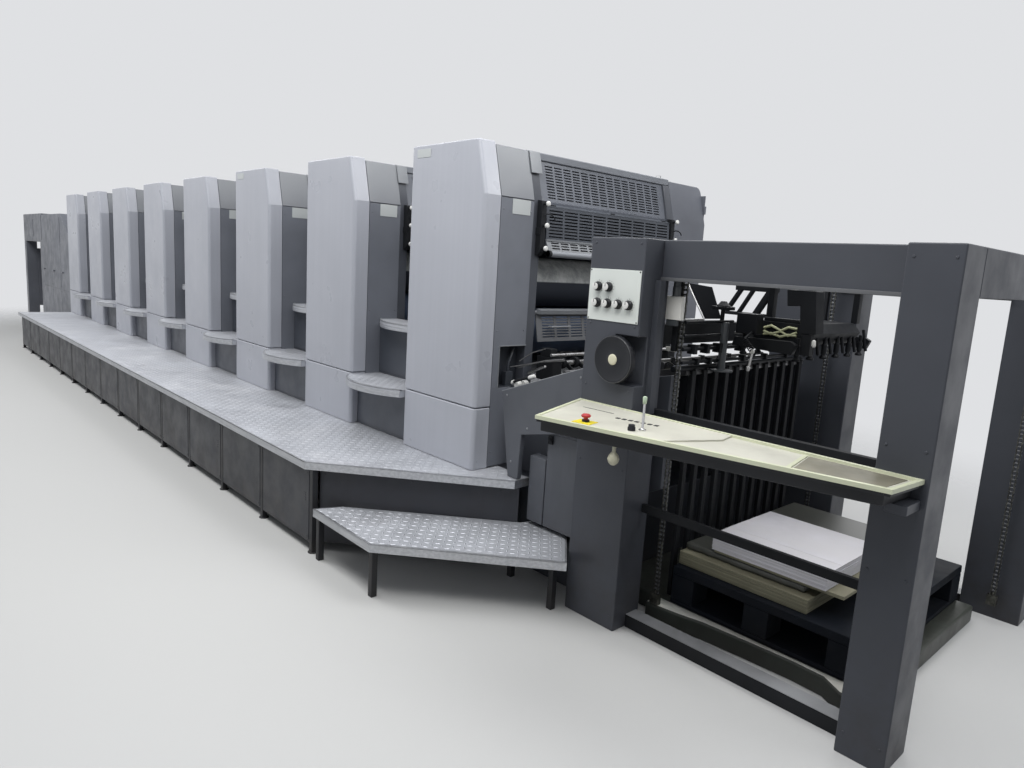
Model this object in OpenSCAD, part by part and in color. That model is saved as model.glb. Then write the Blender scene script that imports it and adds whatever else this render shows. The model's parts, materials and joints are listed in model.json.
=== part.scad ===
// Sheet-fed offset printing press: feeder, eight printing units and delivery.
// The press is laid out from the corner where the first unit's front cover starts:
// +X runs towards the feeder, +Y towards the drive side, +Z up from the floor.

/* [Press line] */
// Number of printing units
unit_count = 8; // [2:1:8]
// Distance from one printing unit to the next
unit_pitch = 1200; // [1190:5:1300]
// Height of the unit covers above the floor
unit_h = 2087; // [2050:1:2150]
// Width of a unit's covers along the press
unit_w = 620; // [600:5:640]
// How far below the top the feeder side of the covers starts to lean in
shoulder_drop = 257; // [240:1:280]
// How far that side has leaned in at the top
shoulder_in = 67; // [50:1:80]
// Running gap left between a moving piece and its neighbour
run_gap = 6; // [5:1:10]
// Joint line between neighbouring covers
cover_gap = 4; // [2:1:8]
// Hairline between castings that are bolted face to face
joint_gap = 0.3; // [0.2:0.1:0.5]

/* [Operator side] */
// Height of the seam between the tall door and the lower cover
seam_h = 794; // [780:1:830]
// Depth of the light front covers
door_d = 100; // [80:5:120]
// Radius on the doors' upright edges
door_r = 22; // [10:1:40]
// Depth of the dark housing behind the covers
housing_d = 225; // [200:5:260]

/* [Side frames and drive side] */
// Thickness of the cast side frames
frame_t = 60; // [50:5:80]
// Clear width between the side frames
inner_w = 1060; // [1000:5:1100]
// Depth of the drive side housing
drive_d = 345; // [300:5:420]
// Radius on the drive housing's upper outer edge
drive_r = 40; // [20:5:120]
// Height of the transfer section between two units
transfer_h = 1085; // [1080:5:1110]
// Height of the base castings
base_h = 440; // [420:5:440]

/* [Cylinders] */
// Radius of the plate and blanket cylinders
cyl_r = 135; // [130:1:138]
// Radius of the double size impression cylinder
imp_r = 270; // [260:1:272]
// Radius of the transfer drum between two units
drum_r = 315; // [300:1:318]
// Running clearance drawn between two cylinders
nip_gap = 2; // [1:0.5:4]

/* [Guards] */
// Width of one slot in the upper panel
slot_w = 56; // [40:1:60]
// Height of one slot
slot_h = 7; // [5:0.5:9]
// Slot columns on the first unit's panel
slot_cols = 14; // [8:1:14]
// Slot rows
slot_rows = 12; // [6:1:12]
// Height of the hinged plate guard down to its lip
guard_h = 242; // [220:2:260]
// Radius of the bar along the guard's lip
bar_r = 18; // [14:1:20]

/* [Walkways] */
// Height of the operator platform
deck_h = 480; // [460:5:500]
// Thickness of the folded deck edge
deck_t = 40; // [30:1:50]
// How far the platform stands out in front of the covers
deck_out = 618; // [600:2:640]
// Height of the low step at the feeder end
low_step_h = 260; // [240:5:275]
// Width of the drive side walkway
drive_walk_w = 600; // [500:10:700]
// Side of the square legs
leg_t = 30; // [25:1:50]
// Thickness of the curved steps between the units
step_t = 45; // [40:1:50]
// How far a curved step bows out
step_bow = 100; // [80:5:120]

/* [Infeed] */
// Height of the feedboard where it meets the first unit
board_low_h = 900; // [880:5:920]
// Height of the feedboard at the feeder
board_high_h = 1120; // [1100:5:1130]
// Thickness of the feedboard
board_t = 35; // [30:1:40]
// Thickness of the infeed's side plates
side_cover_t = 30; // [25:1:35]

/* [Feeder] */
// Height of the feeder frame
feeder_h = 1640; // [1600:5:1700]
// Width of the feeder across its posts
feeder_w = 1760; // [1740:10:1800]
// Where the control column starts, from the first unit's corner
column_x = 1255; // [1240:5:1270]
// Width of the control column
column_w = 280; // [275:1:290]
// Where the outer post starts
post_x = 2474; // [2460:2:2500]
// Width of the outer post
post_w = 156; // [140:2:180]
// Depth of the column and post
post_d = 170; // [160:5:180]
// Set-back of the feeder's operator face behind the unit covers
feeder_set = 60; // [50:5:70]
// Height of the beam along the top
beam_h = 156; // [140:2:180]
// Radius of the handwheel
wheel_r = 97.5; // [90:0.5:100]
// How far the handwheel's axis is below the top of the feeder
wheel_drop = 486; // [480:1:490]
// How far the console top is below the top of the feeder
console_drop = 680; // [650:5:710]
// Height of the guard bar across the front of the pile well
guard_bar_h = 508; // [480:2:540]
// Travel of the pile lift
lift_travel = 560; // [400:10:580]

/* [Delivery] */
// Length of the closed housing after the last unit
housing_l = 2000; // [1600:50:2400]
// Length of the pile section
pile_bay_l = 1600; // [1500:10:1800]
// Height of the delivery
delivery_h = 1870; // [1800:5:1900]
// Side of the delivery's corner posts
bay_post = 160; // [140:5:180]

/* [Hidden] */
$fn = 48;

// Depths across the press, from the operator covers
wall_y = door_d + housing_d;
inner_y = wall_y + frame_t;
far_y = inner_y + inner_w;
drive_y = far_y + frame_t;
back_y = drive_y + drive_d;
walk_back_y = back_y + drive_walk_w;
centre_y = (inner_y + far_y) / 2;

// Lengths along the press
gap_l = unit_pitch - unit_w;
line_x = -unit_pitch * (unit_count - 1);
delivery_x = line_x - housing_l;
end_x = delivery_x - pile_bay_l;
post_end_x = post_x + post_w;
mid_x = (end_x + post_end_x) / 2;
mid_y = (walk_back_y - deck_out) / 2;

// Heights and insets that several pieces share
shoulder_h = unit_h - shoulder_drop;
lean = atan(shoulder_in / shoulder_drop);
side_in = 8;
frame_top = unit_h - 50;
deck_back = door_d + 80;

module in_frame() translate([-mid_x, -mid_y, 0]) children();
module each_unit() for (i = [0 : unit_count - 1]) translate([-unit_pitch * i, 0, 0]) children();
module each_later_unit() for (i = [1 : unit_count - 1]) translate([-unit_pitch * i, 0, 0]) children();
module each_transfer() for (i = [0 : unit_count - 2]) translate([-unit_pitch * i, 0, 0]) children();

// An outline in X and Z, made solid from y to y + t
module across(y, t) translate([0, y + t, 0]) rotate([90, 0, 0]) linear_extrude(t) children();

// An outline in Y and Z, made solid from x to x + l
module along(x, l) translate([x, 0, 0]) rotate([90, 0, 90]) linear_extrude(l) children();

// A round bar across the press
module bar_across(x, z, r, y0, y1) translate([x, y1, z]) rotate([90, 0, 0]) cylinder(r = r, h = y1 - y0);

// Side view of a unit's covers from height z0 up to z1, set in by s on both sides
module unit_side(z0, z1, s = 0) {
    top_in = (z1 - shoulder_h) * tan(lean);
    polygon([[s, z0], [unit_w - s, z0], [unit_w - s, shoulder_h], [unit_w - s - top_in, z1], [s, z1]]);
}

// The cast plinths under the units, the transfers between them and the infeed
base_y0 = door_d + 30;
base_y1 = drive_y + 170;
infeed_base_y = door_d + 110;
module base_castings() in_frame() color([0.20, 0.22, 0.25]) {
    each_unit() translate([0, base_y0, 0]) cube([unit_w, base_y1 - base_y0, base_h]);
    each_transfer() translate([-gap_l, base_y0, 0]) cube([gap_l, base_y1 - base_y0, base_h]);
    translate([unit_w + joint_gap, infeed_base_y, 0])
        cube([column_x - unit_w - joint_gap, 2 * (centre_y - infeed_base_y), base_h]);
}

// Cast side walls: the units' own, the low arms between them and the infeed cheeks
cheek_x = column_x + 270;
cheek_rise = 140;
module side_frames() in_frame() color([0.24, 0.27, 0.30])
    for (y = [wall_y, far_y]) {
        each_unit() across(y, frame_t) unit_side(base_h, frame_top, side_in);
        each_transfer() translate([-gap_l - side_in + joint_gap, y, base_h])
            cube([gap_l + 2 * (side_in - joint_gap), frame_t, transfer_h - base_h]);
        across(y, frame_t) polygon([[unit_w - side_in + joint_gap, base_h], [column_x, base_h],
            [cheek_x, base_h + cheek_rise], [cheek_x, board_high_h - board_t],
            [unit_w - side_in + joint_gap, board_low_h - board_t]]);
    }

// Boxes behind the front covers; the platform's back edge runs in under them
housing_top = unit_h - 12;
recess_d = 60;
recess_in = 47;
recess_low = seam_h + 96;
recess_h = 210;
module operator_housings() in_frame() color([0.30, 0.33, 0.36]) difference() {
    each_unit() {
        across(door_d, housing_d) unit_side(deck_h, housing_top, side_in);
        translate([side_in, deck_back, base_h])
            cube([unit_w - 2 * side_in, wall_y - deck_back, deck_h - base_h]);
    }
    // The first unit's recess beside the infeed
    translate([unit_w - side_in - recess_d, door_d + recess_in, recess_low])
        cube([recess_d + 1, housing_d - recess_in + 1, recess_h]);
}

// Plan of a front cover with its rounded upright edges
module door_plan() {
    translate([door_r, 0]) square([unit_w - 2 * door_r, door_d]);
    translate([0, door_r]) square([unit_w, door_d - door_r]);
    for (x = [door_r, unit_w - door_r]) translate([x, door_r]) circle(r = door_r);
}

// The tall door, cut off along the leaning shoulder
module front_doors() in_frame() color([0.62, 0.64, 0.67]) each_unit() difference() {
    z0 = seam_h + cover_gap;
    translate([0, 0, z0]) linear_extrude(unit_h - z0) door_plan();
    translate([unit_w, 0, shoulder_h]) rotate([0, -lean, 0]) translate([0, -1, 0])
        cube([2 * shoulder_in, door_d + 2, 2 * shoulder_drop]);
}

module lower_covers() in_frame() color([0.60, 0.62, 0.65]) each_unit()
    translate([0, 0, deck_h]) linear_extrude(seam_h - deck_h) door_plan();

// The gear covers, rounded along their upper outer edge
drive_top = unit_h - 20;
module drive_housings() in_frame() color([0.30, 0.33, 0.36]) each_unit() intersection() {
    across(drive_y, drive_d) unit_side(base_h, drive_top, side_in);
    along(-1, unit_w + 2) {
        translate([drive_y, base_h]) square([drive_d, drive_top - base_h - drive_r]);
        translate([drive_y, base_h]) square([drive_d - drive_r, drive_top - base_h]);
        translate([back_y - drive_r, drive_top - drive_r]) circle(r = drive_r);
    }
}

// Roof panels that lie on the side frames
roof_t = 40;
module top_covers() in_frame() color([0.36, 0.39, 0.42]) each_unit()
    translate([side_in, wall_y, frame_top]) cube([unit_w - shoulder_in - side_in, drive_y - wall_y, roof_t]);

// The slotted panel stands between the frames, in the leaning plane of the shoulder
panel_t = 12;
panel_in = 30;
panel_edge = 45;
panel_lift = 4;
row_edge = 18;
panel_h = (frame_top - shoulder_h - 2 * panel_lift) / cos(lean);
slot_field = inner_w - 2 * panel_edge;
slot_pitch = slot_field / slot_cols;
row_pitch = (panel_h - 2 * row_edge) / slot_rows;
module slotted_panel(cols) {
    pitch = slot_field / cols;
    w = pitch - (slot_pitch - slot_w);
    difference() {
        square([inner_w, panel_h]);
        for (c = [0 : cols - 1], r = [0 : slot_rows - 1])
            translate([panel_edge + pitch * (c + 0.5) - w / 2, row_edge + row_pitch * (r + 0.5) - slot_h / 2])
                square([w, slot_h]);
    }
}
module place_panel() translate([unit_w - panel_in, inner_y, shoulder_h + panel_lift]) rotate([0, -lean, 0])
    rotate([90, 0, 90]) linear_extrude(panel_t) children();

module grille_panel_1() in_frame() color([0.28, 0.31, 0.34]) place_panel() slotted_panel(slot_cols);
module grille_panels() in_frame() color([0.28, 0.31, 0.34])
    each_later_unit() place_panel() slotted_panel(2);

// The hinged guard over the plate cylinder: hinge barrel between the frames, lip and bar
hinge_x = unit_w - 20;
hinge_z = shoulder_h - 14;
hinge_r = 8;
guard_x = unit_w + 14;
guard_top = hinge_z - 10;
lip_low = shoulder_h - guard_h;
guard_low = lip_low + 52;
lip_out = 36;
lip_t = 10;
module plate_guard() {
    across(inner_y + run_gap, inner_w - 2 * run_gap)
        polygon([[hinge_x, hinge_z], [hinge_x + 4, hinge_z + 5], [guard_x, guard_top],
            [guard_x + 12, guard_low], [guard_x + lip_out, lip_low], [guard_x + lip_out - lip_t, lip_low],
            [guard_x + 2, guard_low], [guard_x - lip_t, guard_top - 6]]);
    bar_across(hinge_x, hinge_z, hinge_r, inner_y + joint_gap, far_y - joint_gap);
    bar_across(guard_x + lip_out - lip_t / 2, lip_low - bar_r + 2, bar_r, inner_y + run_gap, far_y - run_gap);
}
module plate_guard_1() in_frame() color([0.22, 0.24, 0.27]) plate_guard();
module plate_guards() in_frame() color([0.22, 0.24, 0.27]) each_later_unit() plate_guard();

// Cylinders between the side frames, one above the other, a nip's width apart
blanket_turn = 13;
plate_turn = 8;
imp_x = imp_r + 5;
imp_z = base_h + imp_r + 45;
blanket_x = imp_x + (imp_r + cyl_r + nip_gap) * sin(blanket_turn);
blanket_z = imp_z + (imp_r + cyl_r + nip_gap) * cos(blanket_turn);
plate_x = blanket_x + (2 * cyl_r + nip_gap) * sin(plate_turn);
plate_z = blanket_z + (2 * cyl_r + nip_gap) * cos(plate_turn);
drum_z = base_h + drum_r + 5;
module between_frames(x, z, r) bar_across(x, z, r, inner_y, far_y);
module plate_cylinders() in_frame() color([0.55, 0.57, 0.60]) each_unit()
    between_frames(plate_x, plate_z, cyl_r);
module blanket_cylinders() in_frame() color([0.30, 0.34, 0.42]) each_unit()
    between_frames(blanket_x, blanket_z, cyl_r);
module impression_cylinders() in_frame() color([0.50, 0.52, 0.55]) each_unit()
    between_frames(imp_x, imp_z, imp_r);
module transfer_drums() in_frame() color([0.45, 0.47, 0.50]) each_transfer()
    between_frames(imp_x - unit_pitch / 2, drum_z, drum_r);

// Panels in the gap between two units: riser, back panel and the drive side box
step_top = seam_h - 6;
riser_y = 50;
ledge_y = 200;
panel_plate_t = 20;
drive_box_in = 60;
module transfer_covers() in_frame() color([0.25, 0.28, 0.31]) each_transfer() {
    translate([-gap_l, riser_y, deck_h]) cube([gap_l, panel_plate_t, step_top - step_t - deck_h]);
    translate([-gap_l - side_in, ledge_y, step_top])
        cube([gap_l + 2 * side_in, panel_plate_t, transfer_h - step_top]);
    translate([-gap_l - side_in, drive_y, base_h])
        cube([gap_l + 2 * side_in, drive_d - drive_box_in, transfer_h - base_h]);
}

// Panels that close the side of a unit that faces the delivery
side_cover_z = transfer_h + 200;
module delivery_side_covers() in_frame() color([0.26, 0.29, 0.32]) each_unit()
    translate([0, inner_y, side_cover_z]) cube([20, inner_w, frame_top - side_cover_z]);

// Plan of a step between two units: a strip with a bowed front edge
module bowed(y0, y1, bow) {
    r = (pow(gap_l / 2, 2) + bow * bow) / (2 * bow);
    translate([-gap_l, y0]) square([gap_l, y1 - y0]);
    intersection() {
        translate([-gap_l, y0 - bow - 1]) square([gap_l, bow + 2]);
        translate([-gap_l / 2, y0 - bow + r]) circle(r = r, $fn = 96);
    }
}
step_end = 25;
module unit_steps() in_frame() color([0.55, 0.57, 0.60]) each_transfer()
    translate([0, 0, step_top - step_t]) linear_extrude(step_t)
        bowed(-step_end, ledge_y + panel_plate_t, step_bow);
module inner_ledges() in_frame() color([0.70, 0.72, 0.74]) each_transfer()
    translate([0, 0, transfer_h]) linear_extrude(step_t) bowed(ledge_y, wall_y, step_bow);

// Operator platform with its slanted feeder end, on two rows of legs
deck_corner_x = 67;
deck_tip = [unit_w + 244, 76];
leg_x = 70;
leg_step = unit_pitch / 2;
leg_count = 2 * (unit_count - 1) + 1;
leg_in = 28;
skirt_z = 50;
skirt_t = 15;
inner_leg_y = -60;
diag_turn = atan((deck_tip[1] + deck_out) / (deck_tip[0] - deck_corner_x));
diag_l = norm([deck_tip[0] - deck_corner_x, deck_tip[1] + deck_out]);
diag_in = 45;
diag_from = 63;
diag_past = 20;
module platform_deck() in_frame() color([0.45, 0.47, 0.51])
    translate([0, 0, deck_h - deck_t]) linear_extrude(deck_t)
        polygon([[line_x, -deck_out], [deck_corner_x, -deck_out], deck_tip, [deck_tip[0] - 7, deck_back],
            [line_x, deck_back]]);
module leg(x, y, h, t) translate([x, y, 0]) cube([t, t, h]);
module platform_frame() in_frame() color([0.12, 0.13, 0.15]) {
    for (i = [0 : leg_count - 1], y = [-deck_out + leg_in, inner_leg_y])
        leg(leg_x - i * leg_step, y, deck_h - deck_t, leg_t);
    each_unit() leg(unit_w / 2, walk_back_y - leg_t - leg_in, deck_h - deck_t, leg_t);
}
module skirt_panels() in_frame() color([0.16, 0.18, 0.20]) {
    for (i = [1 : leg_count - 1]) translate([leg_x - i * leg_step + leg_t, -deck_out + 2 * skirt_t, skirt_z])
        cube([leg_step - leg_t, skirt_t, deck_h - deck_t - skirt_z]);
    translate([deck_corner_x, -deck_out, skirt_z]) rotate([0, 0, diag_turn]) translate([diag_from, diag_in, 0])
        cube([diag_l + diag_past - diag_from, skirt_t, deck_h - deck_t - skirt_z]);
}

// Low step round the platform's slanted end
low_corner_x = 154;
low_front = [[low_corner_x, -deck_out + 4], [unit_w + 68, -deck_out], [column_x + 76, -30],
    [column_x - 154, infeed_base_y]];
low_back_in = 375;
low_back = [[column_x - low_back_in, infeed_base_y], [column_x - low_back_in - 20, 130], [unit_w - 93, -173],
    [200, -480]];
module lower_step_deck() in_frame() color([0.50, 0.52, 0.56])
    translate([0, 0, low_step_h - deck_t]) linear_extrude(deck_t) polygon(concat(low_front, low_back));
low_legs = [[unit_w + 40, -deck_out + 18], [column_x - 40, -20], [low_corner_x + 18, -deck_out + 13],
    [unit_w + 240, 60]];
module lower_step_frame() in_frame() color([0.12, 0.13, 0.15])
    for (p = low_legs) leg(p[0], p[1], low_step_h - deck_t, leg_t);

// Walkway along the drive side
module drive_platform() in_frame() color([0.45, 0.47, 0.51])
    translate([line_x, back_y, deck_h - deck_t]) cube([unit_w - line_x, drive_walk_w, deck_t]);

// Feedboard sloping down from the feeder to the first unit
board_x0 = unit_w + 40;
board_x1 = column_x + column_w + 15;
module feedboard() in_frame() color([0.20, 0.22, 0.24])
    across(inner_y, inner_w)
        polygon([[board_x0, board_low_h - board_t], [board_x1, board_high_h - board_t],
            [board_x1, board_high_h], [board_x0, board_low_h]]);

// Side plates of the infeed, one on each side of the feedboard
notch_top = 705;
notch_rise = 90;
plate_foot_x = unit_w + 240;
cover_x = unit_w + 83;
cover_foot_in = 75;
module infeed_side_covers() in_frame() color([0.29, 0.32, 0.35])
    for (y = [door_d, drive_y + drive_d - drive_box_in - side_cover_t]) across(y, side_cover_t)
        polygon([[cover_x + cover_foot_in, deck_h], [plate_foot_x - 10, deck_h], [plate_foot_x, notch_top],
            [column_x, notch_top + notch_rise], [column_x, board_high_h - 25], [cover_x, board_low_h - 4]]);
infeed_door_low = 280;
infeed_door_t = 60;
small_door_h = 605;
large_door_h = 740;
door_split_x = plate_foot_x + 128;
module infeed_doors() in_frame() color([0.30, 0.33, 0.36])
    for (d = [[plate_foot_x + 20, door_split_x, small_door_h], [door_split_x + 4, column_x - 4, large_door_h]])
        translate([d[0], infeed_base_y - infeed_door_t, infeed_door_low])
            cube([d[1] - d[0], infeed_door_t, d[2] - infeed_door_low]);

// Small guard over the feedboard's low end, hung from a bar between the frames
infeed_bar_x = unit_w - 22;
infeed_bar_rise = 370;
infeed_bar_z = board_low_h + infeed_bar_rise;
infeed_bar_r = 12;
infeed_guard_h = 150;
module infeed_guard() in_frame() color([0.24, 0.27, 0.30]) {
    across(inner_y + run_gap, inner_w - 2 * run_gap)
        polygon([[infeed_bar_x - 5, infeed_bar_z], [infeed_bar_x + 5, infeed_bar_z],
            [infeed_bar_x + 35, infeed_bar_z - infeed_guard_h],
            [infeed_bar_x + 25, infeed_bar_z - infeed_guard_h]]);
    bar_across(infeed_bar_x, infeed_bar_z, infeed_bar_r, inner_y, far_y);
}

// Feeder control column with the notch for the handwheel
face_y = feeder_set;
feeder_cy = feeder_set + feeder_w / 2;
far_face_y = face_y + feeder_w;
column_x1 = column_x + column_w;
wheel_x = column_x + 187;
wheel_h = feeder_h - wheel_drop;
console_h = feeder_h - console_drop;
notch_x = wheel_x - 22;
notch_d = 60;
notch_h = 2 * wheel_r + 3;
module feeder_column() in_frame() color([0.30, 0.33, 0.36]) difference() {
    translate([column_x, face_y, 0]) cube([column_w, post_d, feeder_h]);
    translate([notch_x, face_y - 1, wheel_h - notch_h / 2])
        cube([column_x1 - notch_x + 1, notch_d + 1, notch_h]);
}
module feeder_right_post() in_frame() color([0.30, 0.33, 0.36])
    translate([post_x, face_y, 0]) cube([post_w, post_d + 10, feeder_h]);
drive_column_w = column_w + 185;
drive_post_x = post_x - 90;
module feeder_drive_posts() in_frame() color([0.30, 0.33, 0.36]) {
    y = far_face_y - post_d;
    translate([column_x, y, 0]) cube([drive_column_w, post_d, feeder_h]);
    translate([drive_post_x, y, 0]) cube([post_end_x - drive_post_x, post_d, feeder_h]);
}

// Beams along both sides and across the open end; the far one runs on in front of its column
beam_y = face_y + 115;
beam_d = 100;
end_beam_y = face_y + post_d + 10;
end_beam_up = 6;
far_beam_y = 2 * feeder_cy - beam_y - beam_d;
far_beam_in = 55;
far_beam_x = column_x1 + far_beam_in;
module feeder_top_beams() in_frame() color([0.27, 0.30, 0.33]) {
    z = feeder_h - beam_h;
    translate([column_x1, beam_y, z]) cube([post_x - column_x1, beam_d, beam_h]);
    translate([0, 0, z]) linear_extrude(beam_h)
        polygon([[far_beam_x, far_beam_y], [drive_post_x, far_beam_y], [drive_post_x, far_beam_y + beam_d],
            [column_x + drive_column_w, far_beam_y + beam_d], [column_x + drive_column_w, far_face_y - post_d],
            [far_beam_x, far_face_y - post_d]]);
    translate([post_x + joint_gap, end_beam_y, z + end_beam_up])
        cube([post_w - joint_gap, far_face_y - post_d - end_beam_y, beam_h - end_beam_up]);
}

// Bars on the floor between the posts, and the guard bar across the front of the pile well
bar_y = face_y + 80;
floor_bar_d = 75;
floor_bar_h = 60;
guard_bar_y = face_y + 125;
guard_bar_t = 20;
guard_bar_d = 35;
module feeder_floor_bars() in_frame() color([0.33, 0.35, 0.38]) {
    translate([column_x1, bar_y, 0]) cube([post_x - column_x1, floor_bar_d, floor_bar_h]);
    translate([column_x + drive_column_w, 2 * feeder_cy - bar_y - floor_bar_d, 0])
        cube([drive_post_x - column_x - drive_column_w, floor_bar_d, floor_bar_h]);
    translate([column_x1, guard_bar_y, guard_bar_h]) cube([post_x - column_x1, guard_bar_t, guard_bar_d]);
}

// Base of the pile well; its lip swings back between the two posts
base_t = 80;
base_in = 300;
base_y = face_y + base_in;
base_far_y = 2 * feeder_cy - base_y;
lip_in = 215;
lip_y = face_y + lip_in;
lip_l = post_x - column_x1;
lip_deep = 59;
lip_curve = [[0.059, 0], [0.176, 0.25], [0.282, 0.63], [0.495, 0.85], [0.698, 1], [0.825, 0.88], [0.911, 0]];
module feeder_base() in_frame() color([0.42, 0.44, 0.45])
    linear_extrude(base_t)
        polygon(concat([[column_x, base_far_y], [column_x, base_y], [column_x1, base_y], [column_x1, lip_y]],
            [for (p = lip_curve) [column_x1 + p[0] * lip_l, lip_y + p[1] * lip_deep]],
            [[post_x, lip_y], [post_x, base_far_y]]));

// Upright guide bars along the front of the pile, the cross rail above them and the girder behind it
guide_count = 12;
guide_x = column_x1 + 15;
guide_t = 18;
guide_d = 30;
guide_pitch = inner_w / guide_count;
guide_rail_x = column_x1 + 17;
guide_rail_z = board_high_h + 85;
guide_rail_r = 10;
bracket_t = 24;
girder_x = column_x1 - 95;
girder_t = 60;
girder_z = guide_rail_z + 10;
girder_h = 85;
module feeder_guides() in_frame() color([0.16, 0.17, 0.19]) {
    for (i = [0 : guide_count - 1])
        translate([guide_x + joint_gap, inner_y + guide_pitch * (i + 0.5) - guide_d / 2, base_t])
            cube([guide_t, guide_d, board_high_h - base_t]);
    bar_across(guide_rail_x, guide_rail_z, guide_rail_r, beam_y + beam_d, far_face_y - post_d);
    for (y = [beam_y + beam_d, far_face_y - post_d - bracket_t])
        translate([guide_rail_x - bracket_t / 2, y, guide_rail_z - bracket_t / 2])
            cube([bracket_t, bracket_t, feeder_h - guide_rail_z]);
    translate([girder_x, face_y + post_d, girder_z]) cube([girder_t, feeder_w - 2 * post_d, girder_h]);
}

// Control plate with its six air valve knobs
plate_x0 = column_x + 7;
plate_drop = 337;
plate_z0 = feeder_h - plate_drop;
plate_w = column_w - 15;
plate_hh = 210;
plate_t = 4;
module control_plate() in_frame() color([0.80, 0.82, 0.80])
    translate([plate_x0, face_y - plate_t, plate_z0]) cube([plate_w, plate_t, plate_hh]);
knob_r = 18;
knob_l = 24;
knob_step = 55;
knob_rise = 66;
knob_from = [52, 72];
knob_places = [[0, 1], [1, 1], [0, 0], [1, 0], [2, 0], [3, 0]];
module air_knob(i) in_frame() color([0.08, 0.08, 0.09]) {
    p = knob_places[i];
    translate([plate_x0 + knob_from[0] + knob_step * p[0], face_y - plate_t - joint_gap,
        plate_z0 + knob_from[1] + knob_rise * p[1]])
        rotate([90, 0, 0]) cylinder(r = knob_r, h = knob_l);
}
module air_knob_1() air_knob(0);
module air_knob_2() air_knob(1);
module air_knob_3() air_knob(2);
module air_knob_4() air_knob(3);
module air_knob_5() air_knob(4);
module air_knob_6() air_knob(5);

// Handwheel: a flat disc on a shaft out of the notch
wheel_t = 30;
shaft_r = 18;
module handwheel() in_frame() color([0.10, 0.10, 0.11])
    translate([wheel_x, face_y - run_gap - wheel_t, wheel_h]) rotate([-90, 0, 0]) {
        cylinder(r = wheel_r, h = wheel_t, $fn = 96);
        cylinder(r = shaft_r, h = wheel_t + run_gap + notch_d - joint_gap);
    }

// Console shelf across the front of the feeder, on a dark support
console_tip = [column_x + 165, -370];
console_end = [post_end_x - 30, -143];
console_back_x = post_end_x - 14;
console_t = 24;
support_t = 40;
support_in = 30;
stop_from = 333;
stop_at = [column_x + stop_from, -275];
stem_r = 8;
stem_in = 6;
stem_bore = stem_r + 0.5;
stop_travel = 6;
module console() in_frame() color([0.84, 0.84, 0.76]) difference() {
    translate([0, 0, console_h - console_t]) linear_extrude(console_t)
        polygon([[column_x, face_y], console_tip, console_end, [console_back_x, face_y]]);
    translate([stop_at[0], stop_at[1], console_h - stem_in - stop_travel - 1])
        cylinder(r = stem_bore, h = stem_in + stop_travel + 2);
}
module console_support() in_frame() color([0.15, 0.16, 0.18])
    translate([0, 0, console_h - console_t - support_t]) linear_extrude(support_t)
        polygon([[column_x + support_in, face_y], console_tip + [0, support_in],
            console_end + [-support_in, support_in], [console_back_x - support_in, face_y]]);

module stop_button() in_frame() color([0.65, 0.10, 0.10])
    translate([stop_at[0], stop_at[1], console_h - stem_in]) {
        cylinder(r = stem_r, h = stem_in + 18);
        translate([0, 0, stem_in + 14]) cylinder(r = 17, h = 12);
    }
stalk_from = 525;
stalk_at = [column_x + stalk_from, -190];
module stalk() in_frame() color([0.75, 0.75, 0.76]) translate([stalk_at[0], stalk_at[1], console_h]) {
    cylinder(r = 14, h = 5);
    cylinder(r = 3, h = 100);
    translate([0, 0, 95]) cylinder(r = 6, h = 25);
}

// Suction head that lifts the top sheet, hung from two rails between the beams
head_x0 = column_x1 + 105;
head_l = 300;
head_w = 760;
head_y0 = feeder_cy - head_w / 2;
head_h = 180;
head_drop = 300;
head_z0 = feeder_h - beam_h - head_drop;
head_rail_z = feeder_h - beam_h + 40;
head_rail_r = 22;
hanger_t = 40;
rail_in = 60;
module suction_head() in_frame() color([0.14, 0.15, 0.17]) {
    translate([head_x0, head_y0, head_z0]) cube([head_l, head_w, head_h]);
    for (x = [head_x0 + rail_in, head_x0 + head_l - rail_in]) {
        bar_across(x, head_rail_z, head_rail_r, beam_y + beam_d, far_beam_y);
        for (y = [head_y0 + rail_in, head_y0 + head_w - rail_in - hanger_t])
            translate([x - hanger_t / 2, y, head_z0 + head_h - 1])
                cube([hanger_t, hanger_t, head_rail_z - head_z0 - head_h + 1]);
    }
}

// Lift chains in the four corners of the pile well, two beside the beams and two under the end beam
chain_w = 16;
chain_d = 20;
chain_low = base_t;
chain_near_y = beam_y + beam_d + chain_d / 2;
chain_far_y = far_beam_y - chain_d / 2;
beam_low = feeder_h - beam_h;
chain_up = 60;
near_chain_in = 45;
far_chain_in = 75;
post_chain_x = post_x + 50;
chain_places = [[column_x1 + near_chain_in, chain_near_y, beam_low + chain_up],
    [column_x1 + far_chain_in, chain_far_y, beam_low + chain_up],
    [post_chain_x, chain_near_y, beam_low + end_beam_up], [post_chain_x, chain_far_y, beam_low + end_beam_up]];
module lift_chains() in_frame() color([0.35, 0.36, 0.36])
    for (c = chain_places) translate([c[0] - chain_w / 2, c[1] - chain_d / 2, chain_low])
        cube([chain_w, chain_d, c[2] - chain_low]);

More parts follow.
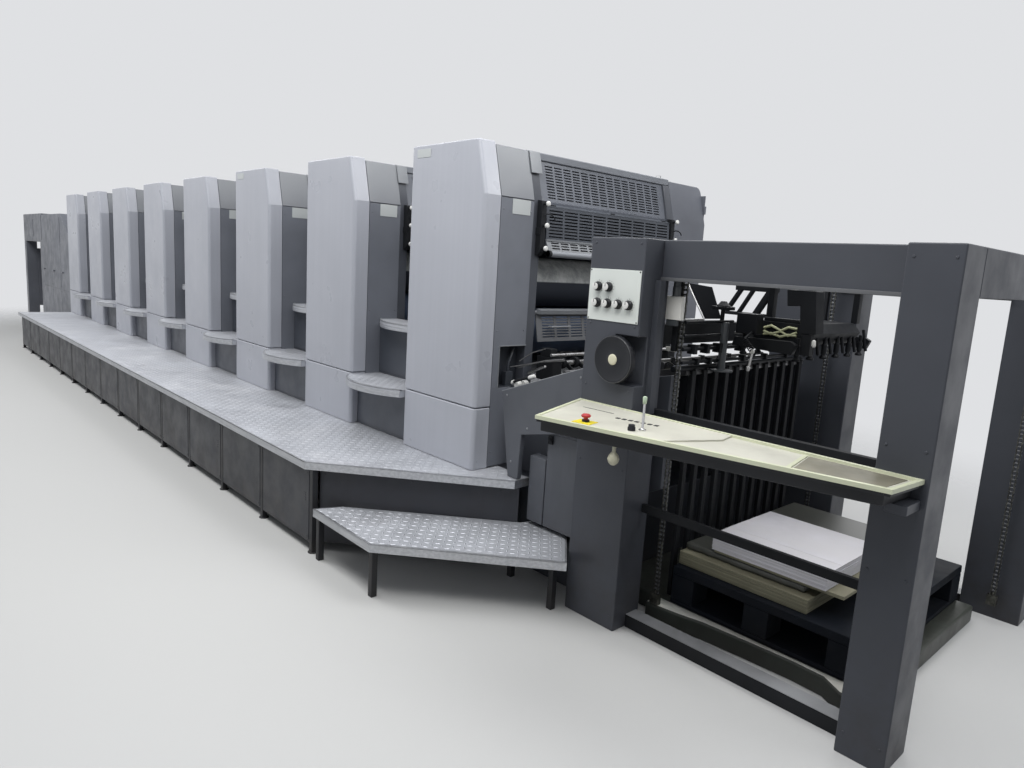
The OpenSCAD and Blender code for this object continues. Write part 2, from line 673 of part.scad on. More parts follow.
// Pile: a dark pallet, the wrapped stack and the cut sheets on top
pile_low = base_t + joint_gap;
pallet_t = 172;
stack_t = 90;
stack_l = 585;
stack_in = 40;
sheets_t = 87;
sheets_in = [132, 72];
sheets_l = 498;
sheets_w = 493;
pile_clear = 70;
pile_x0 = column_x1 + pile_clear;
pile_x1 = post_x - pile_clear;
pile_y0 = base_y;
module pile_board() in_frame() color([0.12, 0.14, 0.17])
    translate([pile_x0, pile_y0, pile_low]) cube([pile_x1 - pile_x0, 2 * (feeder_cy - pile_y0), pallet_t]);
module paper_stack() in_frame() color([0.55, 0.57, 0.50])
    translate([pile_x0, pile_y0 + stack_in, pile_low + pallet_t])
        cube([stack_l, 2 * (feeder_cy - pile_y0 - stack_in), stack_t]);
module top_sheets() in_frame() color([0.85, 0.85, 0.88])
    translate([pile_x0 + sheets_in[0], pile_y0 + sheets_in[1], pile_low + pallet_t + stack_t])
        cube([sheets_l, sheets_w, sheets_t]);

// Delivery: closed chain housing, pile bay with posts, hood and gate
bay_y = 20;
bay_w = 2 * (centre_y - bay_y);
hood_h = 450;
hood_z = delivery_h - hood_h;
housing_rise = 600;
slope_drop = 370;
housing_h = delivery_h - 20;
module delivery_housing() in_frame() color([0.27, 0.30, 0.33])
    across(bay_y, bay_w)
        polygon([[delivery_x, 0], [line_x, 0], [line_x, delivery_h - slope_drop],
            [line_x - housing_rise, housing_h], [delivery_x, housing_h]]);
bay_floor_t = 30;
module delivery_posts() in_frame() color([0.27, 0.30, 0.33]) {
    for (x = [end_x, delivery_x - bay_post], y = [bay_y, bay_y + bay_w - bay_post])
        translate([x, y, 0]) cube([bay_post, bay_post, hood_z]);
    translate([end_x, bay_y + bay_post + joint_gap, 0])
        cube([pile_bay_l, bay_w - 2 * (bay_post + joint_gap), bay_floor_t]);
}
module delivery_hood() in_frame() color([0.30, 0.33, 0.36])
    translate([end_x, bay_y, hood_z]) cube([pile_bay_l, bay_w, hood_h]);
gate_t = 25;
gate_clear = 270;
gate_z = bay_floor_t + gate_clear;
module delivery_gate() in_frame() color([0.30, 0.33, 0.36])
    translate([end_x + bay_post - gate_t, bay_y + bay_post, gate_z])
        cube([gate_t, bay_w - 2 * bay_post, hood_z - 120 - gate_z]);
pallet_l = 900;
pallet_h = 150;
pallet_in = 380;
module delivery_pile() in_frame() color([0.45, 0.35, 0.22])
    translate([delivery_x - (pile_bay_l + pallet_l) / 2, bay_y + pallet_in, bay_floor_t])
        cube([pallet_l, bay_w - 2 * pallet_in, pallet_h]);

base_castings();
side_frames();
operator_housings();
front_doors();
lower_covers();
drive_housings();
top_covers();
grille_panel_1();
grille_panels();
plate_guard_1();
plate_guards();
plate_cylinders();
blanket_cylinders();
impression_cylinders();
transfer_drums();
transfer_covers();
delivery_side_covers();
unit_steps();
inner_ledges();
platform_deck();
platform_frame();
skirt_panels();
lower_step_deck();
lower_step_frame();
drive_platform();
feedboard();
infeed_side_covers();
infeed_doors();
infeed_guard();
feeder_column();
feeder_right_post();
feeder_drive_posts();
feeder_top_beams();
feeder_guides();
feeder_floor_bars();
feeder_base();
control_plate();
air_knob_1();
air_knob_2();
air_knob_3();
air_knob_4();
air_knob_5();
air_knob_6();
handwheel();
console();
console_support();
stop_button();
stalk();
suction_head();
lift_chains();
pile_board();
paper_stack();
top_sheets();
delivery_housing();
delivery_posts();
delivery_hood();
delivery_gate();
delivery_pile();
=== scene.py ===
import json
import math
import random

import bmesh
import bpy
from mathutils import Matrix, Vector

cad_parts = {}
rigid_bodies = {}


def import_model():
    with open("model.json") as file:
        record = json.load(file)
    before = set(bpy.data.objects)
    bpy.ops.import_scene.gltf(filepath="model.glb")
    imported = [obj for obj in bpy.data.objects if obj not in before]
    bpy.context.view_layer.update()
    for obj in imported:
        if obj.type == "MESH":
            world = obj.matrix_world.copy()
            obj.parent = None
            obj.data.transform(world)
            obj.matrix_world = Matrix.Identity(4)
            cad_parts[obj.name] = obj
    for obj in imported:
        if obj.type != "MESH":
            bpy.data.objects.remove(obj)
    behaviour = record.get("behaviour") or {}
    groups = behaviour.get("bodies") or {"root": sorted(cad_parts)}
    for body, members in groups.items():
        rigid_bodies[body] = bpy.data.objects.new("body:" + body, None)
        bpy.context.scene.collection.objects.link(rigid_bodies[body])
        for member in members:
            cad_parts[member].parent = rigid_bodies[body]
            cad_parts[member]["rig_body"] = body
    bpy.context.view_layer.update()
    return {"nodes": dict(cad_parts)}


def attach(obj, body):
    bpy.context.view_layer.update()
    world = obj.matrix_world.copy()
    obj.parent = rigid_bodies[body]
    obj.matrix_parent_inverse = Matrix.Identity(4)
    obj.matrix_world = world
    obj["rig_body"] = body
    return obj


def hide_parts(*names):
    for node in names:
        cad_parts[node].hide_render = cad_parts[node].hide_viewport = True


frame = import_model()
scene = bpy.context.scene
nodes = frame["nodes"]

# Camera. It stands off the feeder's operator corner at a tall person's eye height and looks
# up the line of units, tipped down a little and rolled by the hand that held it.
EYE = Vector((7.9574, -3.1223, 1.5049))
RIGHT = Vector((0.66983, 0.74011, 0.05964))
UP = Vector((-0.16131, 0.06664, 0.98465))
AHEAD = Vector((-0.72478, 0.66917, -0.16402))
lens = bpy.data.cameras.new("camera")
lens.sensor_width = 36.0
lens.lens = 25.09
lens.clip_end = 100.0
camera = bpy.data.objects.new("camera", lens)
camera.matrix_world = Matrix((
    (RIGHT.x, UP.x, -AHEAD.x, EYE.x),
    (RIGHT.y, UP.y, -AHEAD.y, EYE.y),
    (RIGHT.z, UP.z, -AHEAD.z, EYE.z),
    (0, 0, 0, 1),
))
scene.collection.objects.link(camera)
scene.camera = camera

# Studio. Six soft lamps stand in for the tubes of a press hall: a long one over the operator side,
# shorter ones over the feedboard, the feeder, the roofs and the pile, and a wide one for the drive
# side. The pale floor fades into the pale backdrop away from the press.
scene.view_settings.view_transform = "Standard"
sky = bpy.data.worlds.new("sky")
sky.use_nodes = True
sky_nodes, sky_links = sky.node_tree.nodes, sky.node_tree.links
fill = sky_nodes["Background"]
fill.inputs["Color"].default_value = (0.90, 0.94, 1.0, 1)
fill.inputs["Strength"].default_value = 0.34
BACKDROP = (0.74, 0.75, 0.77, 1)
seen = sky_nodes.new("ShaderNodeBackground")
seen.inputs["Color"].default_value = BACKDROP
pick = sky_nodes.new("ShaderNodeMixShader")
rays = sky_nodes.new("ShaderNodeLightPath")
any_ray = rays.outputs["Is Camera Ray"]
for kind in ("Is Glossy Ray", "Is Transmission Ray"):
    either = sky_nodes.new("ShaderNodeMath")
    either.operation = "MAXIMUM"
    sky_links.new(any_ray, either.inputs[0])
    sky_links.new(rays.outputs[kind], either.inputs[1])
    any_ray = either.outputs[0]
sky_links.new(any_ray, pick.inputs[0])
sky_links.new(fill.outputs[0], pick.inputs[1])
sky_links.new(seen.outputs[0], pick.inputs[2])
sky_links.new(pick.outputs[0], sky_nodes["World Output"].inputs["Surface"])
scene.world = sky
for name, place, target, size, watts in (
    ("operator_tubes", (-0.5, -2.6, 4.0), (-0.5, -1.0, 0.6), (12.6, 1.6), 256),
    ("feedboard_tubes", (6.3, 0.3, 3.9), (5.2, -0.3, 1.4), (1.6, 3.4), 76),
    ("feeder_tubes", (6.7, -2.3, 3.5), (6.5, -0.8, 0.8), (2.2, 1.0), 56),
    ("roof_tubes", (1.2, 0.3, 4.0), (1.2, 0.3, 0.0), (6.4, 0.8), 46),
    ("well_tubes", (8.9, 0.2, 3.4), (6.6, -0.6, 0.1), (1.2, 1.6), 24),
    ("drive_side_fill", (-1.0, 7.5, 5.0), (-1.0, 1.0, 1.0), (14.0, 3.0), 380),
):
    data = bpy.data.lights.new(name, "AREA")
    data.shape = "RECTANGLE"
    data.size, data.size_y = size
    data.energy = watts
    lamp = bpy.data.objects.new(name, data)
    lamp.location = place
    lamp.rotation_euler = (Vector(target) - Vector(place)).to_track_quat("-Z", "Y").to_euler()
    scene.collection.objects.link(lamp)
HALF_FLOOR = 60
corners = [(-HALF_FLOOR, -HALF_FLOOR, 0), (HALF_FLOOR, -HALF_FLOOR, 0), (HALF_FLOOR, HALF_FLOOR, 0),
           (-HALF_FLOOR, HALF_FLOOR, 0)]
ground_mesh = bpy.data.meshes.new("ground")
ground_mesh.from_pydata(corners, [], [(0, 1, 2, 3)])
ground = bpy.data.objects.new("ground", ground_mesh)
scene.collection.objects.link(ground)
ground_finish = bpy.data.materials.new("ground")
ground_finish.use_nodes = True
ground_nodes, ground_links = ground_finish.node_tree.nodes, ground_finish.node_tree.links
concrete = ground_nodes["Principled BSDF"]
concrete.inputs["Base Color"].default_value = (0.52, 0.52, 0.51, 1)
concrete.inputs["Roughness"].default_value = 0.7
FADE_X, FADE_Y = 9.5, 5.2
squeeze = ground_nodes.new("ShaderNodeMapping")
squeeze.inputs["Scale"].default_value = (1 / FADE_X, 1 / FADE_Y, 0.0)
ground_links.new(ground_nodes.new("ShaderNodeTexCoord").outputs["Object"], squeeze.inputs["Vector"])
reach = ground_nodes.new("ShaderNodeVectorMath")
reach.operation = "LENGTH"
ground_links.new(squeeze.outputs["Vector"], reach.inputs[0])
fade = ground_nodes.new("ShaderNodeMapRange")
fade.interpolation_type = "SMOOTHSTEP"
fade.inputs["From Min"].default_value = 0.62
fade.inputs["From Max"].default_value = 1.15
ground_links.new(reach.outputs["Value"], fade.inputs["Value"])
gone = ground_nodes.new("ShaderNodeMixShader")
ground_links.new(fade.outputs["Result"], gone.inputs[0])
ground_links.new(concrete.outputs[0], gone.inputs[1])
ground_links.new(ground_nodes.new("ShaderNodeBsdfTransparent").outputs[0], gone.inputs[2])
ground_links.new(gone.outputs[0], ground_nodes["Material Output"].inputs["Surface"])
ground_mesh.materials.append(ground_finish)


# Base castings. Grey iron plinths under every unit, under the transfers between them and under
# the infeed, machined where they meet and painted a dark slate that is scuffed near the floor.
def mix_colours(tree, amount, first, second):
    node = tree.nodes.new("ShaderNodeMix")
    node.data_type = "RGBA"
    tree.links.new(amount, node.inputs["Factor"])
    for socket, colour in ((node.inputs["A"], first), (node.inputs["B"], second)):
        if isinstance(colour, tuple):
            socket.default_value = (*colour, 1)
        else:
            tree.links.new(colour, socket)
    return node.outputs["Result"]


def patches(tree, place, scale, low, high, detail=4.0, rough=0.6, stretch=None):
    """A mask from 0 to 1 with soft edged patches of the given size, in patches a metre."""
    if stretch:
        turn = tree.nodes.new("ShaderNodeMapping")
        turn.inputs["Scale"].default_value = stretch
        tree.links.new(place, turn.inputs["Vector"])
        place = turn.outputs["Vector"]
    noise = tree.nodes.new("ShaderNodeTexNoise")
    noise.inputs["Scale"].default_value = scale
    noise.inputs["Detail"].default_value = detail
    noise.inputs["Roughness"].default_value = rough
    tree.links.new(place, noise.inputs["Vector"])
    ramp = tree.nodes.new("ShaderNodeMapRange")
    ramp.interpolation_type = "SMOOTHSTEP"
    ramp.inputs["From Min"].default_value = low
    ramp.inputs["From Max"].default_value = high
    tree.links.new(noise.outputs["Fac"], ramp.inputs["Value"])
    return ramp.outputs["Result"]


def start_finish(name, rough, metal=0.0, specular=0.5):
    """A new material with the object's own coordinates at hand."""
    finish = bpy.data.materials.new(name)
    finish.use_nodes = True
    tree = finish.node_tree
    shader = tree.nodes["Principled BSDF"]
    shader.inputs["Roughness"].default_value = rough
    shader.inputs["Metallic"].default_value = metal
    shader.inputs["Specular IOR Level"].default_value = specular
    place = tree.nodes.new("ShaderNodeTexCoord").outputs["Object"]
    return finish, tree, shader, place


def scaled(tree, mask, share):
    """A mask made weaker, by a number or by a second mask."""
    times = tree.nodes.new("ShaderNodeMath")
    times.operation = "MULTIPLY"
    tree.links.new(mask, times.inputs[0])
    if isinstance(share, float):
        times.inputs[1].default_value = share
    else:
        tree.links.new(share, times.inputs[1])
    return times.outputs[0]


def by_height(tree, place, none, full):
    """A mask that is 0 at one height and 1 at another, in metres from the floor."""
    split = tree.nodes.new("ShaderNodeSeparateXYZ")
    tree.links.new(place, split.inputs[0])
    ramp = tree.nodes.new("ShaderNodeMapRange")
    ramp.inputs["From Min"].default_value = none
    ramp.inputs["From Max"].default_value = full
    tree.links.new(split.outputs["Z"], ramp.inputs["Value"])
    return ramp.outputs["Result"]


def vary_rough(tree, shader, mask, low, high):
    span = tree.nodes.new("ShaderNodeMapRange")
    span.inputs["To Min"].default_value = low
    span.inputs["To Max"].default_value = high
    tree.links.new(mask, span.inputs["Value"])
    tree.links.new(span.outputs["Result"], shader.inputs["Roughness"])


def raise_bumps(tree, shader, height, strength, distance):
    bump = tree.nodes.new("ShaderNodeBump")
    bump.inputs["Strength"].default_value = strength
    bump.inputs["Distance"].default_value = distance
    tree.links.new(height, bump.inputs["Height"])
    tree.links.new(bump.outputs["Normal"], shader.inputs["Normal"])


GRIME = (0.035, 0.030, 0.026)


def painted(name, colour, cloudy=0.12, rough=0.42, grime=0.5, grime_top=0.5, streaks=0.15, peel=0.10,
            shine=0.5):
    """Sprayed satin paint: cloudy in large patches, streaked by wiping, darker with grime low down."""
    finish, tree, shader, place = start_finish(name, rough, specular=shine)
    lighter = tuple(min(1.0, c * (1 + cloudy)) for c in colour)
    darker = tuple(c * (1 - cloudy) for c in colour)
    wiped_colour = tuple(c * 0.55 for c in colour)
    chipped_colour = tuple(min(1.0, c * 2.2 + 0.03) for c in colour)
    coat = mix_colours(tree, patches(tree, place, 1.7, 0.3, 0.7), darker, lighter)
    wiped = patches(tree, place, 3.0, 0.52, 0.75, 6.0, 0.65, (1.0, 1.0, 0.16))
    coat = mix_colours(tree, scaled(tree, wiped, streaks), coat, wiped_colour)
    spots = patches(tree, place, 5.0, 0.35, 0.75, 8.0, 0.7)
    foul = scaled(tree, by_height(tree, place, grime_top, 0.0), spots)
    coat = mix_colours(tree, scaled(tree, foul, grime), coat, GRIME)
    chips = patches(tree, place, 26.0, 0.735, 0.76, 9.0, 0.75)
    coat = mix_colours(tree, scaled(tree, chips, 0.5), coat, chipped_colour)
    tree.links.new(coat, shader.inputs["Base Color"])
    vary_rough(tree, shader, patches(tree, place, 6.0, 0.25, 0.8), rough - 0.08, rough + 0.14)
    raise_bumps(tree, shader, patches(tree, place, 420.0, 0.0, 1.0, 2.0), peel, 0.0004)
    return finish


def finish_edges(piece, width, steps=1, sharp=40):
    scene.collection.objects.link(piece)
    for face in piece.data.polygons:
        face.use_smooth = True
    if width:
        ease = piece.modifiers.new("eased_edges", "BEVEL")
        ease.width = width
        ease.segments = steps
        ease.limit_method = "ANGLE"
        ease.angle_limit = math.radians(sharp)
        level = piece.modifiers.new("level_faces", "WEIGHTED_NORMAL")
        level.weight = 100
    else:
        piece.data.set_sharp_from_angle(angle=math.radians(sharp))


def eased(node, finish, width, steps=1):
    """A node's own shape with its edges eased as a bend or a casting's edge is, in place of the node."""
    shape = nodes[node].data.copy()
    mesh = bmesh.new()
    mesh.from_mesh(shape)
    bmesh.ops.remove_doubles(mesh, verts=mesh.verts, dist=1e-5)
    bmesh.ops.dissolve_limit(mesh, angle_limit=math.radians(0.5), verts=mesh.verts, edges=mesh.edges)
    bmesh.ops.recalc_face_normals(mesh, faces=mesh.faces)
    mesh.to_mesh(shape)
    mesh.free()
    shape.materials.clear()
    shape.materials.append(finish)
    piece = bpy.data.objects.new(node + "_sheet", shape)
    finish_edges(piece, width, steps)
    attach(piece, nodes[node]["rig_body"])
    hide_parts(node)


casting_paint = painted("casting_paint", (0.030, 0.034, 0.043), grime=0.8)
eased("base_castings", casting_paint, 0.006)

# Side frames. Cast iron walls that carry every cylinder, bored through and painted slate grey;
# low arms join the units, and sloping cheeks run out under the feedboard.
frame_paint = painted("frame_paint", (0.062, 0.067, 0.080), grime=0.3)
eased("side_frames", frame_paint, 0.004)

# Operator side housings. Folded sheet boxes behind the front covers, with a skin screwed on the
# side that faces the feeder, split where the shoulder starts to lean. The first unit's skin is cut
# out round a recess with a dark lining and a thin bright frame.
PITCH, UNITS = 1200.0, 8
UNIT_W, TOP, KINK, LEAN_IN, DROP = 620.0, 2087.0, 1830.0, 67.0, 257.0
WALL, INNER, FAR, DRIVE, BACK = 325.0, 385.0, 1445.0, 1505.0, 1850.0
GAP = PITCH - UNIT_W
CORNER = Vector((4.685, -0.916, 0.0))
TO_FRAME = Matrix.Translation(CORNER) @ Matrix.Scale(0.001, 4)
EACH_UNIT = [(-PITCH * i, 0, 0) for i in range(UNITS)]
EACH_GAP = EACH_UNIT[:-1]


def shoulder_x(z, out=0.0):
    """Where the leaning feeder side of the covers is at height z."""
    return UNIT_W + out - max(0.0, z - KINK) * LEAN_IN / DROP


def full_turn(count):
    """The angles that share out a full turn."""
    return [2 * math.pi * k / count for k in range(count)]


def band(a, b, sides):
    """The faces between two rings of points, which start at a and at b."""
    return [(a + k, a + (k + 1) % sides, b + (k + 1) % sides, b + k) for k in range(sides)]


class Metalwork:
    """Solids for one piece, in press millimetres from the first unit's front corner."""

    def __init__(self):
        self.points, self.faces, self.finish_of, self.finish = [], [], [], 0

    def add(self, points, faces):
        start = len(self.points)
        self.points += [tuple(p) for p in points]
        self.faces += [tuple(start + i for i in face) for face in faces]
        self.finish_of += [self.finish] * len(faces)
        return self

    def block(self, x, y, z):
        points = [(a, b, c) for a in x for b in y for c in z]
        return self.add(points, [(0, 1, 3, 2), (4, 6, 7, 5), (0, 4, 5, 1),
                                 (2, 3, 7, 6), (0, 2, 6, 4), (1, 5, 7, 3)])

    def slab(self, outline, axis, low, high):
        """An outline made solid along an axis: (x, z) along y, (y, z) along x or (x, y) along z."""
        slot = "xyz".index(axis)
        n = len(outline)
        points = [(*p[:slot], t, *p[slot:]) for t in (low, high) for p in outline]
        return self.add(points, [tuple(range(n))[::-1], tuple(range(n, 2 * n)), *band(0, n, n)])

    def turned(self, foot, along, profile, sides=20):
        """A turned piece: (radius, distance along) pairs round an axis from foot."""
        along = Vector(along).normalized()
        across = along.orthogonal().normalized()
        other = along.cross(across)
        foot = Vector(foot)
        points = []
        for radius, far in profile:
            for turn in full_turn(sides):
                spoke = across * math.cos(turn) + other * math.sin(turn)
                points.append(foot + along * far + spoke * max(radius, 0.01))
        faces = [tuple(range(sides))[::-1], tuple(range(len(points) - sides, len(points)))]
        for ring in range(len(profile) - 1):
            faces += band(ring * sides, (ring + 1) * sides, sides)
        return self.add(points, faces)

    def turned_at(self, feet, along, profile, sides=10):
        """The same small turned piece at each of these places: a row of screws, pads or knobs."""
        for foot in feet:
            self.turned(foot, along, profile, sides)
        return self

    def rod(self, start, end, radius, sides=12):
        start, end = Vector(start), Vector(end)
        return self.turned(start, end - start, [(radius, 0), (radius, (end - start).length)], sides)

    def pipe(self, path, radius, sides=8, closed=False):
        """A bent round bar through the points of a path."""
        path = [Vector(p) for p in path]
        count = len(path)
        across = (path[1] - path[0]).orthogonal().normalized()
        points = []
        for i, p in enumerate(path):
            ahead = path[(i + 1) % count] - p if closed or i < count - 1 else p - path[i - 1]
            behind = p - path[i - 1] if closed or i else ahead
            along = (ahead.normalized() + behind.normalized()).normalized()
            across = (across - along * across.dot(along)).normalized()
            other = along.cross(across)
            for turn in full_turn(sides):
                points.append(p + (across * math.cos(turn) + other * math.sin(turn)) * radius)
        faces = []
        for i in range(count if closed else count - 1):
            faces += band(i * sides, ((i + 1) % count) * sides, sides)
        if not closed:
            faces += [tuple(range(sides))[::-1], tuple(range((count - 1) * sides, count * sides))]
        return self.add(points, faces)

    def merge(self, other):
        """The other work's solids too, in this work's finish of the moment."""
        return self.add(other.points, other.faces)

    def copies(self, steps):
        """The same solids again at each of these steps."""
        points, faces, finish_of = self.points, self.faces, self.finish_of
        self.points, self.faces, self.finish_of = [], [], []
        for dx, dy, dz in steps:
            start = len(self.points)
            self.points += [(x + dx, y + dy, z + dz) for x, y, z in points]
            self.faces += [tuple(start + i for i in face) for face in faces]
            self.finish_of += finish_of
        return self

    def placed(self, move):
        """Every point so far put through move."""
        self.points = [move(*p) for p in self.points]
        return self

    def put(self, name, finishes, slot, body="body", stands_for=(), ease=0.0, steps=1, sharp=40):
        """Makes the piece, in the frame, riding on its body."""
        shape = bpy.data.meshes.new(name)
        shape.from_pydata(self.points, [], self.faces)
        shape.polygons.foreach_set("material_index", self.finish_of)
        for finish in finishes:
            shape.materials.append(finish)
        mesh = bmesh.new()
        mesh.from_mesh(shape)
        bmesh.ops.recalc_face_normals(mesh, faces=mesh.faces)
        mesh.transform(TO_FRAME)
        mesh.to_mesh(shape)
        mesh.free()
        piece = bpy.data.objects.new(name, shape)
        finish_edges(piece, ease, steps, sharp)
        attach(piece, body)
        if stands_for:
            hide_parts(*stands_for)


housing_paint = painted("housing_paint", (0.140, 0.149, 0.172), grime=0.25, streaks=0.25)
eased("operator_housings", housing_paint, 0.004)
# The shoulder paint goes from a darker grey at 1.80 m to a lighter grey at 2.08 m: painted light from the
# lamps overhead, lighter towards the top of the lean.
shoulder_paint, tree, shader, place = start_finish("shoulder_paint", 0.36)
top_lit_coat = mix_colours(tree, by_height(tree, place, 1.80, 2.08), (0.125, 0.133, 0.150), (0.205, 0.216, 0.230))
wiped = patches(tree, place, 3.0, 0.50, 0.75, 6.0, 0.65, (1.0, 1.0, 0.2))
top_lit_coat = mix_colours(tree, scaled(tree, wiped, 0.25), top_lit_coat, (0.13, 0.14, 0.15))
tree.links.new(top_lit_coat, shader.inputs["Base Color"])
vary_rough(tree, shader, patches(tree, place, 6.0, 0.25, 0.8), 0.30, 0.48)
SKIN_X, SKIN_Y, SKIN_LOW, SKIN_TOP = (614, 619), (104, WALL - 3), 486, 2070
RECESS_X, RECESS_Y, RECESS_Z = (556, 612), (147, WALL), (890, 1100)
skins = Metalwork()
skins.slab([(shoulder_x(z, out), z) for z, out in ((KINK, -6), (KINK, -1), (SKIN_TOP, -1), (SKIN_TOP, -6))],
           "y", *SKIN_Y)
skins.finish = 1
skins.block((-1, 3), (106, WALL - 4), (806, SKIN_TOP - 4))
skins.turned_at([(SKIN_X[1], y, z) for z in (560, 1180, 1770) for y in (122, WALL - 22)],
                (1, 0, 0), [(5, -1), (5, 1.6), (3.5, 2.4)])
skins.copies(EACH_UNIT)
for step, _, _ in EACH_UNIT[1:]:
    skins.block((step + SKIN_X[0], step + SKIN_X[1]), SKIN_Y, (SKIN_LOW, KINK - 6))
skins.block(SKIN_X, SKIN_Y, (SKIN_LOW, RECESS_Z[0]))
skins.block(SKIN_X, SKIN_Y, (RECESS_Z[1], KINK - 6))
skins.block(SKIN_X, (SKIN_Y[0], RECESS_Y[0]), RECESS_Z)
skins.put("housing_skins", [shoulder_paint, housing_paint], "housing_grey", ease=0.0015)
void_black = painted("void_black", (0.010, 0.011, 0.013), cloudy=0.3, rough=0.6, grime=0.0, shine=0.2)
lip_paint = painted("lip_paint", (0.17, 0.178, 0.19), grime=0.0, streaks=0.2)
recess_paint = painted("recess_paint", (0.026, 0.030, 0.038), grime=0.0)
LINING, FRAME_X, FRAME_W = 3, (616, 621), 5
pocket = Metalwork()
pocket.block((RECESS_X[0] - LINING, RECESS_X[0]), (RECESS_Y[0] + 1, WALL - 1),
             (RECESS_Z[0] + 1, RECESS_Z[1] - 1))
pocket.block(RECESS_X, (RECESS_Y[0] + 1, RECESS_Y[0] + 1 + LINING), (RECESS_Z[0] + 1, RECESS_Z[1] - 1))
for z in (RECESS_Z[0] + 1, RECESS_Z[1] - 1 - LINING):
    pocket.block(RECESS_X, (RECESS_Y[0] + 1 + LINING, WALL - 1), (z, z + LINING))
pocket.block((570, 600), (214, 262), (892, 966))
pocket.pipe([(585, 238, 966), (586, 240, 1010), (580, 262, 1050), (566, 286, 1086)], 8)
pocket.finish = 1
pocket.block(FRAME_X, (RECESS_Y[0] - FRAME_W, RECESS_Y[0]), (RECESS_Z[0], RECESS_Z[1] + FRAME_W))
pocket.block(FRAME_X, (RECESS_Y[0], WALL), (RECESS_Z[1], RECESS_Z[1] + FRAME_W))
pocket.put("recess_lining", [recess_paint, lip_paint], "guard_grey", ease=0.0008)

# Caps and blank plates on the housings. A folded cap hooks over the shoulder beside the frame, and
# a small bare aluminium plate is held by two rivets; two front doors carry one at their top too.
bare_plate = painted("bare_plate", (0.42, 0.44, 0.44), cloudy=0.05, rough=0.5, grime=0.0, streaks=0.1)
caps = Metalwork()
caps.slab([(shoulder_x(1966, 1), 1966), (shoulder_x(1966, 9), 1966), (shoulder_x(2069, 9), 2066),
           (shoulder_x(2069, 3), 2076), (shoulder_x(2069, -40), 2076), (shoulder_x(2069, -40), 2070),
           (shoulder_x(2069, 1), 2068)], "y", 318, 392)
caps.copies(EACH_UNIT).put("shoulder_caps", [shoulder_paint], "housing_grey", ease=0.002)
PLATE_X, PLATE_Z = (54, 172), (2024, 2066)
plates = Metalwork()
plates.block((619, 621.5), (176, 296), (1752, 1824))
plates.turned_at([(621, y, 1788) for y in (182, 290)], (1, 0, 0), [(3, 0), (2.6, 1.4)], 8)
plates.copies(EACH_UNIT)
for step in (0, 2 * PITCH):
    plates.block((PLATE_X[0] - step, PLATE_X[1] - step), (-2, 0.6), PLATE_Z)
plates.put("blank_plates", [bare_plate], "control_white", ease=0.0008)

# Front covers. Tall doors pressed from sheet and sprayed light silver grey, with rounded upright
# edges and a shoulder that leans in; below the seam a second cover lifts off.
DOOR_D, DOOR_R, SEAM, DECK = 100.0, 22.0, 794.0, 480.0


def cover_plan(width, inset=0.0, bends=7):
    """Half plan of a cover: rounded at both front corners, open at the back."""
    plan = [(inset, DOOR_D)]
    for start, cx in ((1.0, DOOR_R), (1.5, width - DOOR_R)):
        for k in range(bends + 1):
            turn = start * math.pi + (math.pi / 2) * k / bends
            plan.append((cx + (DOOR_R - inset) * math.cos(turn), DOOR_R + (DOOR_R - inset) * math.sin(turn)))
    return [*plan, (width - inset, DOOR_D)]


def cover(work, levels):
    """A cover lofted through (height, width, inset) levels."""
    rings = [[(x, y, z) for x, y in cover_plan(width, inset)] for z, width, inset in levels]
    n = len(rings[0])
    faces = [tuple(range(n))[::-1], tuple(range(n * (len(rings) - 1), n * len(rings)))]
    for r in range(len(rings) - 1):
        faces += band(r * n, (r + 1) * n, n)
    work.add([p for ring in rings for p in ring], faces)


DOOR_LIGHT, DOOR_DEEP = (0.382, 0.394, 0.434), (0.352, 0.364, 0.404)
door_paint, tree, shader, place = start_finish("door_paint", 0.32)
coat = mix_colours(tree, patches(tree, place, 1.3, 0.25, 0.75, 2.0), DOOR_DEEP, DOOR_LIGHT)
brush = patches(tree, place, 45.0, 0.3, 0.7, 3.0, 0.5, (1.0, 1.0, 0.02))
coat = mix_colours(tree, scaled(tree, brush, 0.16), coat, (0.30, 0.31, 0.345))
smear = patches(tree, place, 2.4, 0.45, 0.8, 3.0, 0.5, (1.0, 1.0, 0.30))
coat = mix_colours(tree, scaled(tree, smear, 0.18), coat, (0.26, 0.27, 0.30))
tree.links.new(coat, shader.inputs["Base Color"])
vary_rough(tree, shader, patches(tree, place, 4.0, 0.3, 0.7, 3.0), 0.27, 0.42)
raise_bumps(tree, shader, brush, 0.04, 0.0003)
LEAN_W = UNIT_W - LEAN_IN
doors = Metalwork()
cover(doors, [(SEAM + 4, UNIT_W, 5), (SEAM + 6, UNIT_W, 2), (SEAM + 10, UNIT_W, 0), (KINK - 2, UNIT_W, 0),
              (KINK + 2, UNIT_W - 1, 0), (TOP - 8, LEAN_W + 2, 0), (TOP - 2, LEAN_W, 3), (TOP, LEAN_W, 9)])
lower = Metalwork()
cover(lower, [(DECK, UNIT_W, 2), (DECK + 3, UNIT_W, 0), (SEAM - 8, UNIT_W, 0), (SEAM - 2, UNIT_W, 3),
              (SEAM, UNIT_W, 9)])
for work, name, node in ((doors, "front_door_panels", "front_doors"),
                         (lower, "lower_cover_panels", "lower_covers")):
    work.copies(EACH_UNIT).put(name, [door_paint], "door_grey", stands_for=[node], ease=0.0012, sharp=30)

